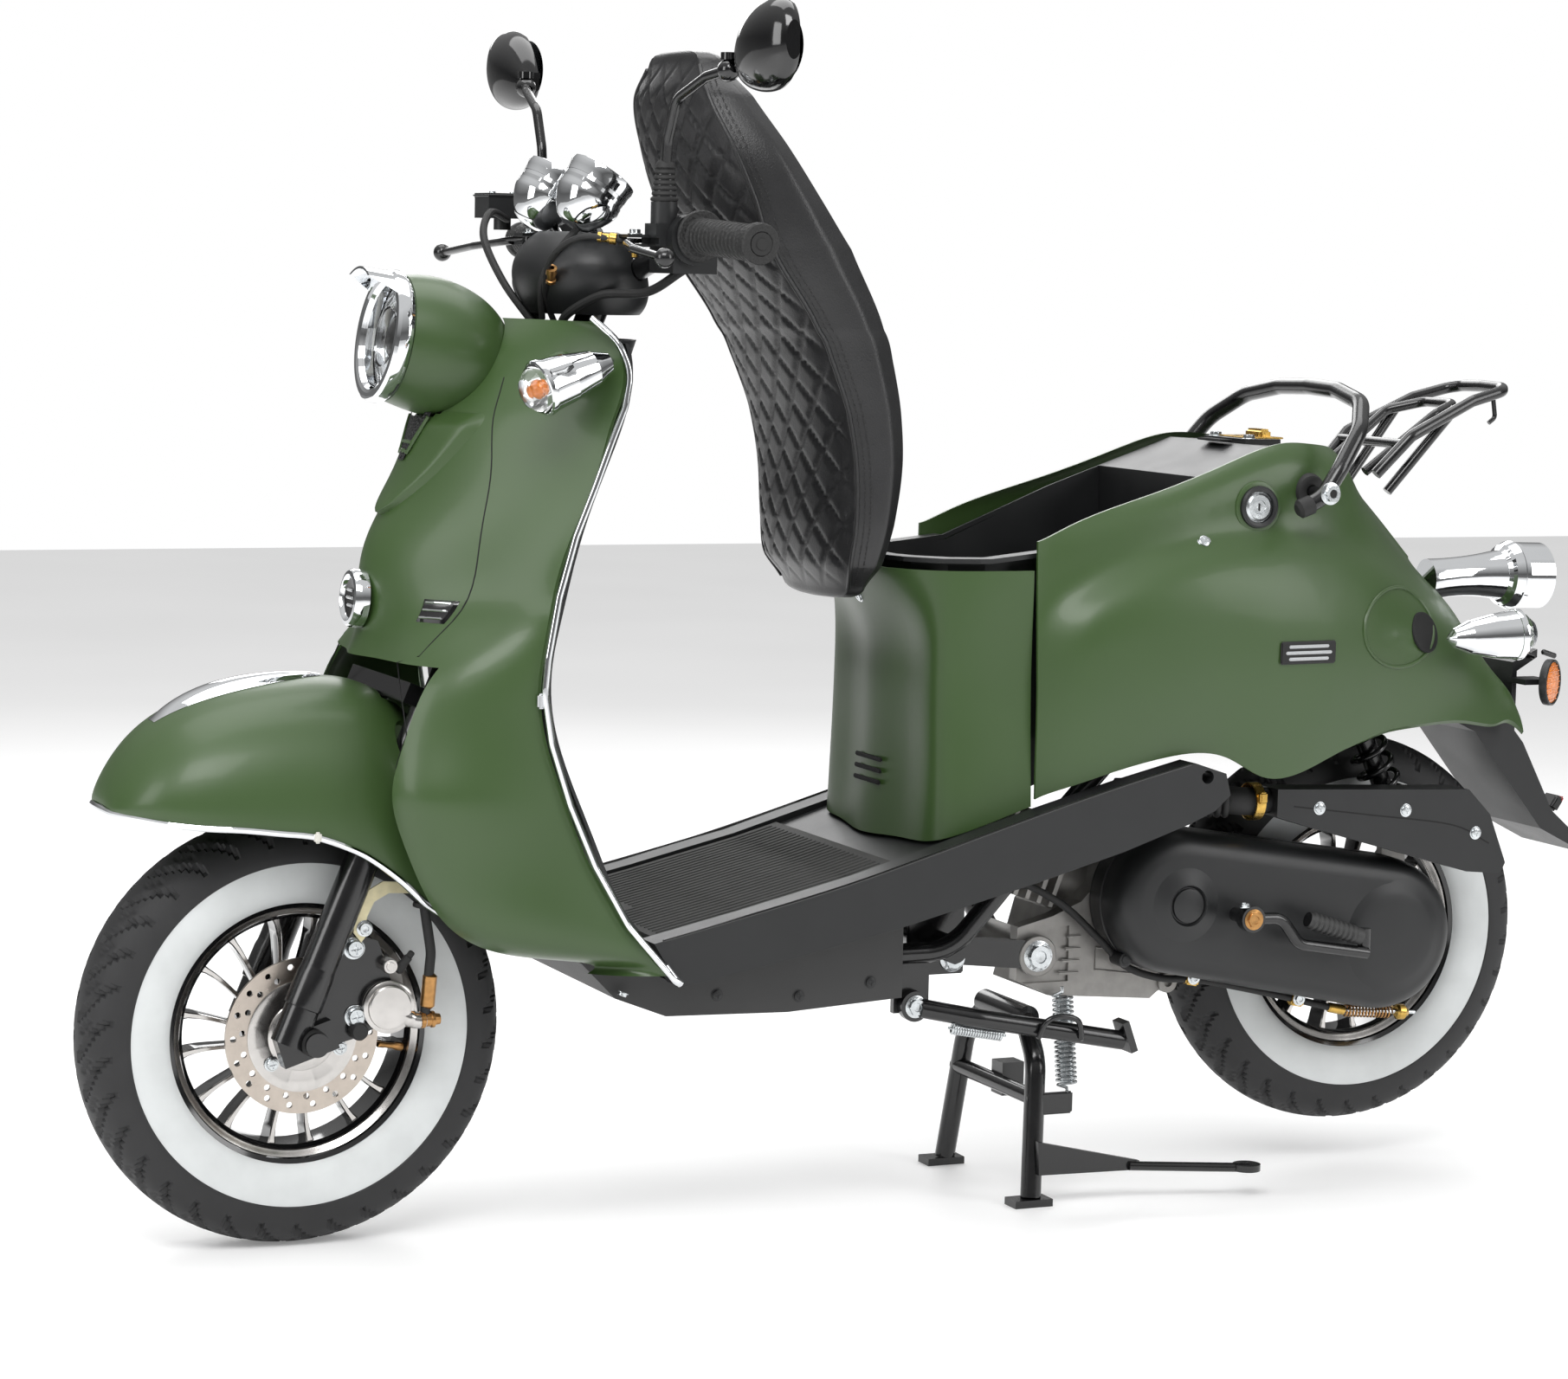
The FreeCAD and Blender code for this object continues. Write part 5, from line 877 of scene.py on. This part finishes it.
for side, s in SIDES:
    panel = "side_panel_" + side
    inward = (0, -s, 0)
    p, n = surface(panel, (-294, s * 260, 706), inward)
    bolt("panel_screw_" + side, p - n * 0.4, n, 6.0, 2.4, ZINC, "chassis", "cross")
    ring = [surface(panel, (-540 + 56 * math.cos(2 * math.pi * k / 24), s * 260,
                            611 + 42 * math.sin(2 * math.pi * k / 24)), inward) for k in range(24)]
    rod("signal_surround_" + side, [p + n * 0.1 for p, n in ring], 2.0, GREEN, "chassis", per_run=4, sides=10,
        closed=True)
    # The signal hole is a flat dark disc of painted shade.
    p, n = surface(panel, (-580, s * 260, 604), inward)
    lathe("signal_hole_" + side, [(0, 0.6), (19, 0.6), (21, 1.4), (22.4, 0.9), (22.6, -1)], p, n, SHADOW_BLACK, "chassis", 48)
    p, n = surface(panel, (-408, s * 260, 590), inward)
    block("side_plate_" + side, p + n * 0.8, (72, 3.0, 24), GLOSS, "chassis", 1.4,
          (0, 0, -s * math.degrees(math.atan2(n.x, abs(n.y)))))
    for k in (-1, 0, 1):
        block("side_plate_bar_%s_%d" % (side, k + 1), p + n * 2.2 + Vector((0, 0, 6.5 * k)), (60 - 8 * abs(k), 2.4, 3.4),
              CHROME, "chassis", 0.9, (0, 0, -s * math.degrees(math.atan2(n.x, abs(n.y)))))
    # grab hoop: sleeve on the front end, bolt and grommet at the stud
    rod("hoop_tip_" + side, [(-399, s * 172, 740), (-412, s * 173, 745)], 10.2, RUBBER, "chassis", sides=20,
        straight=True)
    bolt("hoop_bolt_" + side, (-428, s * 184, 757), (0, s, 0), 9.0, 7.0, ZINC, "chassis")
    lathe("hoop_grommet_" + side, [(7, 11), (13, 11.6), (16.4, 10), (17.4, 7), (19, 4), (19.6, 0), (17, -3)],
          (-428, s * 137, 757), (0, s, 0), RUBBER, "chassis", 48)
    # round reflectors on the plate bracket
    at, axis = (-776, s * 84, 540), (-0.6, s * 0.8, 0)
    lathe("rear_reflector_" + side, [(0, 8.9), (12, 8.8), (20, 8.4), (22.6, 7.4), (22.8, 5.8)], at, axis, ORANGE,
          "chassis", 56)
    lathe("rear_reflector_rim_" + side, [(22.8, 5.4), (23, 8.2), (24, 9.2), (25.6, 8.4), (26, 5), (25.6, 0.4)], at, axis,
          BLACK, "chassis", 56)
    for k in range(-3, 4):
        width = math.sqrt(22.0 ** 2 - (6.2 * k) ** 2)
        across = Vector((-0.8, -s * 0.6, 0)).normalized()
        centre = Vector(at) + Vector(axis).normalized() * 8.6 + Vector((0, 0, 6.2 * k))
        rod("rear_reflector_line_%s_%d" % (side, k + 3), [centre - across * width * 0.96, centre + across * width * 0.96],
            0.5, ORANGE, "chassis", sides=6, straight=True)
    # slotted bracket between the tail and the reflectors
    for k, x in enumerate((-768, -796)):
        rod("bracket_slot_%s_%d" % (side, k), [(x + 8, s * 58, 571), (x - 8, s * 58, 566)], 3.2, STEEL_BLACK, "chassis",
            sides=12, straight=True)

lathe("lock_boss", [(25, -4), (27.5, -1), (26.6, 2.4), (23.6, 3.6), (21, 3.4)], (-362, 146.5, 741), (0, 1, 0), GREEN,
      "chassis", 64)
lathe("lock_ring", [(16.4, 2), (17, 6.4), (20, 7.2), (22, 6), (22.6, 2), (22, -3)], (-362, 147, 741), (0, 1, 0), BLACK,
      "chassis", 64)
lathe("lock_face", [(0, 1.2), (7, 1.3), (7.6, 2.2), (12.6, 2.4), (13.6, 1.4), (15.4, 0.6), (15.6, -1)], (-362, 150, 741),
      (0, 1, 0), ZINC, "lock_barrel", 64)
# The key slot is a dark block of painted shade.
block("lock_slot", (-362, 151.3, 741), (1.8, 1.4, 8.0), SHADOW_BLACK, "lock_barrel", 0.4)
block("seat_catch", (-446, 0, 811), (15, 34, 11), GOLD, "chassis", 3.0)
block("seat_catch_plate", (-438, 0, 807.6), (42, 66, 2.0), GOLD, "chassis", 0.8)
for s in (1, -1):
    bolt("deck_bolt_%d" % (s + 1), (-414, s * 36, 806.6), (0, 0, 1), 6.0, 5.0, ZINC, "chassis")
# The deck recess is a dark block of painted shade.
block("deck_recess", (-392, 0, 804.6), (16, 52, 2.4), SHADOW_BLACK, "chassis", 1.0)
lathe("tail_ring", [(26, 2), (34.4, 9), (37.8, 16), (38.6, 18), (37.6, 20), (35, 18)], (-758, 0, 653), (-1, 0, -0.02), CHROME,
      "chassis", 72, 24)
block("plate_light", (-846, 0, 392), (12, 30, 18), BLACK, "chassis", 3.0, (0, -34, 0))
block("plate_light_lens", (-853, 0, 394), (4, 24, 12), RED, "chassis", 1.6, (0, -34, 0))
for k in range(9):
    t = k / 8
    p = Vector((-712 - 110 * t, 0, 494 - 122 * t ** 0.8))
    p, n = surface("rear_mudguard", p + Vector((-60, 0, 60)), (0.7, 0, -0.7))
    rod("flap_rib_%d" % k, [p + Vector((0, -50, 0)), p + Vector((0, 50, 0))], 1.5, BLACK, "chassis", sides=8,
        straight=True)

# ---------------------------------------------------------------- floor dress

for k in range(-13, 14):
    line = []
    for x in (306, 282, 250, 210, 160, 110, 62):
        hit = surface("floor_mat", (x, k * 10.6, 700), (0, 0, -1))
        if abs(hit[0].y - k * 10.6) < 0.5 and hit[1].z > 0.7:
            line.append(hit[0] + hit[1] * 0.2)
    if len(line) > 2:
        rod("mat_rib_%02d" % (k + 13), line, 1.1, MAT, "chassis", per_run=3, sides=6)
for side, s in SIDES:
    crest = []
    for x in (318, 270, 200, 120, 40, -40, -120, -200, -270):
        hit = surface("floorboard", (x, s * 187, 700), (0, 0, -1))
        crest.append(hit[0] + Vector((0, 0, 0.2)))
    rod("rail_crest_" + side, crest, 1.5, GLOSS, "chassis", per_run=4, sides=8)
    for x, z in ((330, 296), (240, 252), (150, 246), (70, 256)):
        p, n = surface("belly_cover", (x, s * 260, z), (0, -s, 0))
        bolt("belly_screw_%s_%d" % (side, x), p, n, 5.0, 2.0, BLACK, "chassis", "cross")
p, n = surface("body_column", (200, 0, 640), (-1, 0, 0))
bolt("column_screw", p, n, 5.5, 2.2, ZINC, "chassis", "cross")
# The column vent slots are dark blocks of painted shade.
for k in range(3):
    p, n = surface("body_column", (200, 0, 446 + 12 * k), (-1, 0, 0))
    block("column_vent_%d" % k, p, (2.4, 64, 5.0), SHADOW_BLACK, "chassis", 1.0)

# ---------------------------------------------------------------- engine unit dress

FRONT_PULLEY, FRONT_R = Vector((-300, 0, 318)), 78.0
REAR_PULLEY, REAR_R = Vector((-556, 0, 272)), 84.0


def belt_outline(inset, y, count=96):
    """The outline around both pulleys, drawn in by an inset, at a depth."""
    between = REAR_PULLEY - FRONT_PULLEY
    along = math.atan2(between.z, between.x)
    lean = math.acos((FRONT_R - REAR_R) / between.length)
    points = []
    for k in range(count):
        a = along + lean + (2 * math.pi - 2 * lean) * k / (count // 2 - 1)
        centre, r = FRONT_PULLEY, FRONT_R
        if k >= count // 2:
            a = along - lean + 2 * lean * (k - count // 2) / (count // 2 - 1)
            centre, r = REAR_PULLEY, REAR_R
        points.append(centre + Vector((math.cos(a) * (r - inset), y, math.sin(a) * (r - inset))))
    return points


COVER = [(0.4, 62), (0.4, 66), (0.0, 67), (0.0, 86), (1.6, 86.6), (1.6, 89), (0.2, 89.6), (0.6, 104), (2.0, 114),
         (5.0, 122), (10.0, 128.5), (17.0, 132.5), (26.0, 134.2), (50.0, 134.6), (77.0, 134.8)]
verts, faces = lattice([belt_outline(inset, y) for inset, y in COVER], close_u=True, cap_ends=True)
cover = piece("belt_cover", verts, faces, BLACK, "engine", sharp=50)
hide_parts("cvt_cover")
lathe("cover_front_boss", [(0, 5.4), (17, 5.4), (18, 5.0), (18.6, 2.2), (19.6, 2.0), (22, 5.6), (25, 5.0), (34, 1.0),
                           (42, -0.6)], (-300, 134.6, 318), (0, 1, 0), BLACK, "engine", 72)
lathe("cover_rear_dome", [(0, 5.6), (34, 5.2), (46, 4.4), (52, 2.8), (58, 0.4), (64, -1.2)], (-556, 134.2, 272), (0, 1, 0), BLACK,
      "engine", 72)
for k in range(7):
    a = math.radians(-50 + 40 * k)
    at = (REAR_PULLEY if k % 2 else FRONT_PULLEY) + Vector((math.cos(a) * 81, 92, math.sin(a) * 81))
    if k in (0, 1, 5, 6):
        lathe("cover_lug_%d" % k, [(0, 9), (4.6, 9), (5, 8), (7.4, 7.6), (8.4, 5), (8.4, -14)], at, (0, 1, 0), BLACK,
              "engine", 24)
bolt("kick_bolt", (-360, 173, 306), (0, 1, 0), 8.4, 4.0, BRASS, "kick_lever")
bolt("kick_clamp_screw", (-352, 166.5, 319), (0.1, 0, 1), 5.0, 4.0, ZINC, "kick_lever")
profile = [(8.2, 0)]
for k in range(9):
    profile += [(8.2, 4 + k * 6.4), (9.8, 5.4 + k * 6.4), (9.8, 8.0 + k * 6.4), (8.2, 9.4 + k * 6.4)]
lathe("kick_pedal_grip", profile + [(9.0, 64), (9.0, 70), (6, 72), (0, 72)], (-430, 166, 302), (-0.92, 0, -0.3),
      GREY, "kick_lever", 32, 24)

for s in (1,):
    bolt("engine_pivot_bolt", (-160, 66, 259), (0, 1, 0), 13.0, 8.0, ZINC, "chassis")
    lathe("engine_pivot_washer", [(12, 0), (12, 2.4), (21, 2.4), (22, 1.4), (22, -2)], (-160, 65, 259), (0, 1, 0), ALLOY,
          "chassis", 48)
    bolt("hanger_bolt", (-59, 66, 262), (0, 1, 0), 11.0, 7.0, ZINC, "chassis")
    bolt("side_stand_bolt", (5, 113, 222), (0, 1, 0), 9.0, 6.0, ZINC, "side_stand")
block("hanger_plate", (-40, 63, 282), (66, 5, 74), STEEL_BLACK, "chassis", 1.6)
for k in range(4):
    block("casting_rib_%d" % k, (-200 - 2 * k, 60.8, 238 + 13 * k), (26 - 3 * k, 3.2, 4.0), ALLOY, "engine", 1.2)
rod("casting_panel", [(-232, 60.6, 240), (-288, 60.6, 232), (-288, 60.6, 256), (-232, 60.6, 264)], 1.1, ALLOY, "engine",
    sides=8, closed=True, straight=True)
lathe("casting_lug", [(4.6, 1), (5, 4.6), (10, 4.8), (11.4, 3.6), (11.6, -4)], (-320, 60, 222), (0, 1, 0), ALLOY, "engine",
      40)

CABLE_Y = 82
rod("rear_brake_cable", [(-60, 70, 352), (-120, 74, 345), (-180, 78, 316), (-226, 80, 276), (-258, 81, 246),
                         (-300, CABLE_Y, 231), (-350, CABLE_Y, 226), (-440, CABLE_Y, 206), (-518, CABLE_Y, 186)],
    4.0, RUBBER, "engine", per_run=8, sides=14)
for k, (x, z) in enumerate(((-338, 228), (-470, 198))):
    block("cable_clamp_%d" % k, (x, CABLE_Y, z), (16, 12, 13), GOLD, "engine", 2.0, (0, -12, 0))
    bolt("cable_clamp_bolt_%d" % k, (x, CABLE_Y + 6, z + 2), (0, 1, 0), 5.6, 4.0, ZINC, "engine")
rod("cable_ferrule", [(-512, CABLE_Y, 187.5), (-530, CABLE_Y, 183.5)], 5.6, GOLD, "engine", sides=18,
    straight=True)
spring("brake_return_spring", (-532, CABLE_Y, 183), (-590, CABLE_Y, 178), 6.2, 1.0, 14, BRASS, "engine")
rod("brake_pull_rod", [(-530, CABLE_Y, 183.4), (-622, CABLE_Y, 176)], 2.2, ZINC, "engine", sides=12,
    straight=True)
block("brake_arm", (-594, CABLE_Y - 8, 196), (9, 7, 44), ZINC, "engine", 2.0, (0, 12, 0))
lathe("brake_adjuster", [(0, 12), (5, 12), (6, 10), (8.6, 7), (8.6, 0), (6, -2), (0, -2)], (-600, CABLE_Y, 177.6),
      (-1, 0, -0.08), GOLD, "engine", 24, 20)

# stands
spring("centre_stand_spring", (-186, 74, 226), (-184, 96, 116), 10.0, 1.9, 19, ZINC, "centre_stand", hooks=9.0)
block("centre_stand_tab", (-168, 97, 106), (44, 5, 24), STEEL_BLACK, "centre_stand", 2.0)
spring("side_stand_spring", (-28, 124, 200), (-92, 130, 189), 5.4, 1.3, 20, ZINC, "side_stand", hooks=4.0)
rod("side_stand_loop", [(-122, 146, 188), (-130, 150, 206), (-148, 151, 210), (-166, 151, 204), (-172, 148, 184)], 3.0,
    STEEL_BLACK, "side_stand", sides=12)

# air box
lathe("hose_clamp", [(19, -6), (20.4, -5.4), (20.4, 5.4), (19, 6)], (-383, 122, 425), (1, 0, 0), GOLD, "engine", 48)
block("hose_clamp_screw", (-383, 143, 431), (9, 8, 12), GOLD, "engine", 1.6)
for k, (x, z) in enumerate(((-452, 418), (-560, 412), (-650, 384))):
    bolt("airbox_screw_%d" % k, (x, 146, z), (0, 1, 0), 5.4, 2.4, ZINC, "engine", "cross")
seam("airbox_seam", "airbox", [(-420, 200, 421), (-520, 200, 408), (-620, 200, 394), (-668, 200, 372)], (0, -1, 0), "engine", 1.6)

# ---------------------------------------------------------------- floor, light and camera

floor_rows = [[(-9000 + 600 * i, -9000 + 600 * j, 0) for j in range(31)] for i in range(31)]
mesh = bpy.data.meshes.new("studio_floor")
verts, faces = lattice(floor_rows)
mesh.from_pydata([Vector(v) * MM for v in verts], [], faces)
FLOOR = finish("studio_floor_pale", (0.86, 0.86, 0.86, 1.0), 0.45, mottle=(1.2, 0.01), grain=(60.0, 0.02, 0.0005),
               spec=0.25)
for node in FLOOR.node_tree.nodes:
    if node.type == "BSDF_PRINCIPLED":
        node.inputs["Emission Color"].default_value = (1.0, 1.0, 1.0, 1.0)
        node.inputs["Emission Strength"].default_value = 0.2
mesh.materials.append(FLOOR)
floor = bpy.data.objects.new("studio_floor", mesh)
bpy.context.scene.collection.objects.link(floor)

world = bpy.data.worlds.new("studio")
bpy.context.scene.world = world
world.use_nodes = True
wt = world.node_tree
wt.nodes.clear()
w_out = wt.nodes.new("ShaderNodeOutputWorld")
w_mix = wt.nodes.new("ShaderNodeMixShader")
w_path = wt.nodes.new("ShaderNodeLightPath")
w_seen = wt.nodes.new("ShaderNodeBackground")
w_seen.inputs["Color"].default_value = (1.0, 1.0, 1.0, 1.0)
w_seen.inputs["Strength"].default_value = 1.0
w_lit = wt.nodes.new("ShaderNodeBackground")
w_coords = wt.nodes.new("ShaderNodeTexCoord")
w_split = wt.nodes.new("ShaderNodeSeparateXYZ")
w_ramp = wt.nodes.new("ShaderNodeValToRGB")
w_ramp.color_ramp.elements[0].position = 0.44
w_ramp.color_ramp.elements[0].color = (0.30, 0.30, 0.30, 1)
w_ramp.color_ramp.elements[1].position = 0.86
w_ramp.color_ramp.elements[1].color = (0.95, 0.95, 0.95, 1)
dark_band = w_ramp.color_ramp.elements.new(0.56)
dark_band.color = (0.16, 0.16, 0.16, 1)
w_range = wt.nodes.new("ShaderNodeMapRange")
w_range.inputs["From Min"].default_value = -1.0
wt.links.new(w_coords.outputs["Generated"], w_split.inputs["Vector"])
wt.links.new(w_split.outputs["Z"], w_range.inputs["Value"])
wt.links.new(w_range.outputs["Result"], w_ramp.inputs["Fac"])
wt.links.new(w_ramp.outputs["Color"], w_lit.inputs["Color"])
w_lit.inputs["Strength"].default_value = 0.75
wt.links.new(w_path.outputs["Is Camera Ray"], w_mix.inputs["Fac"])
wt.links.new(w_lit.outputs[0], w_mix.inputs[1])
wt.links.new(w_seen.outputs[0], w_mix.inputs[2])
wt.links.new(w_mix.outputs[0], w_out.inputs["Surface"])


def softbox(name, at, aim, size, power):
    light = bpy.data.lights.new(name, "AREA")
    light.shape = "RECTANGLE"
    light.size, light.size_y = size
    light.energy = power
    obj = bpy.data.objects.new(name, light)
    obj.location = at
    obj.rotation_euler = (Vector(aim) - Vector(at)).to_track_quat("-Z", "Y").to_euler()
    bpy.context.scene.collection.objects.link(obj)
    return obj


softbox("key_light", (1.6, 2.6, 3.4), (0.0, 0.0, 0.5), (2.4, 1.6), 95)
softbox("side_light", (-2.6, 2.8, 1.9), (-0.3, 0.0, 0.5), (1.4, 2.2), 42)
softbox("front_light", (3.8, 0.8, 1.8), (0.5, 0.0, 0.5), (1.4, 2.0), 38)
softbox("top_light", (0.0, -0.6, 3.8), (0.0, 0.0, 0.4), (3.6, 2.4), 70)
softbox("back_light", (-1.0, -3.2, 2.4), (0.0, 0.0, 0.6), (2.6, 1.6), 45)

camera = bpy.data.cameras.new("camera")
camera.sensor_width = 36.0
camera.sensor_fit = "HORIZONTAL"
camera.lens = 92.641
camera.dof.use_dof = False
camera.clip_end = 100.0
cam = bpy.data.objects.new("camera", camera)
yaw, pitch, roll = math.radians(-113.7477), math.radians(-6.1274), math.radians(1.2621)
ahead = Vector((math.cos(pitch) * math.cos(yaw), math.cos(pitch) * math.sin(yaw), math.sin(pitch)))
right = ahead.cross(Vector((0, 0, 1))).normalized()
up = right.cross(ahead)
right_2 = right * math.cos(roll) + up * math.sin(roll)
up_2 = up * math.cos(roll) - right * math.sin(roll)
turn = Matrix((right_2, up_2, -ahead)).transposed()
cam.matrix_world = Matrix.Translation((1.79604, 3.82773, 0.99195)) @ turn.to_4x4()
bpy.context.scene.collection.objects.link(cam)
bpy.context.scene.camera = cam
bpy.context.scene.view_settings.view_transform = "Standard"
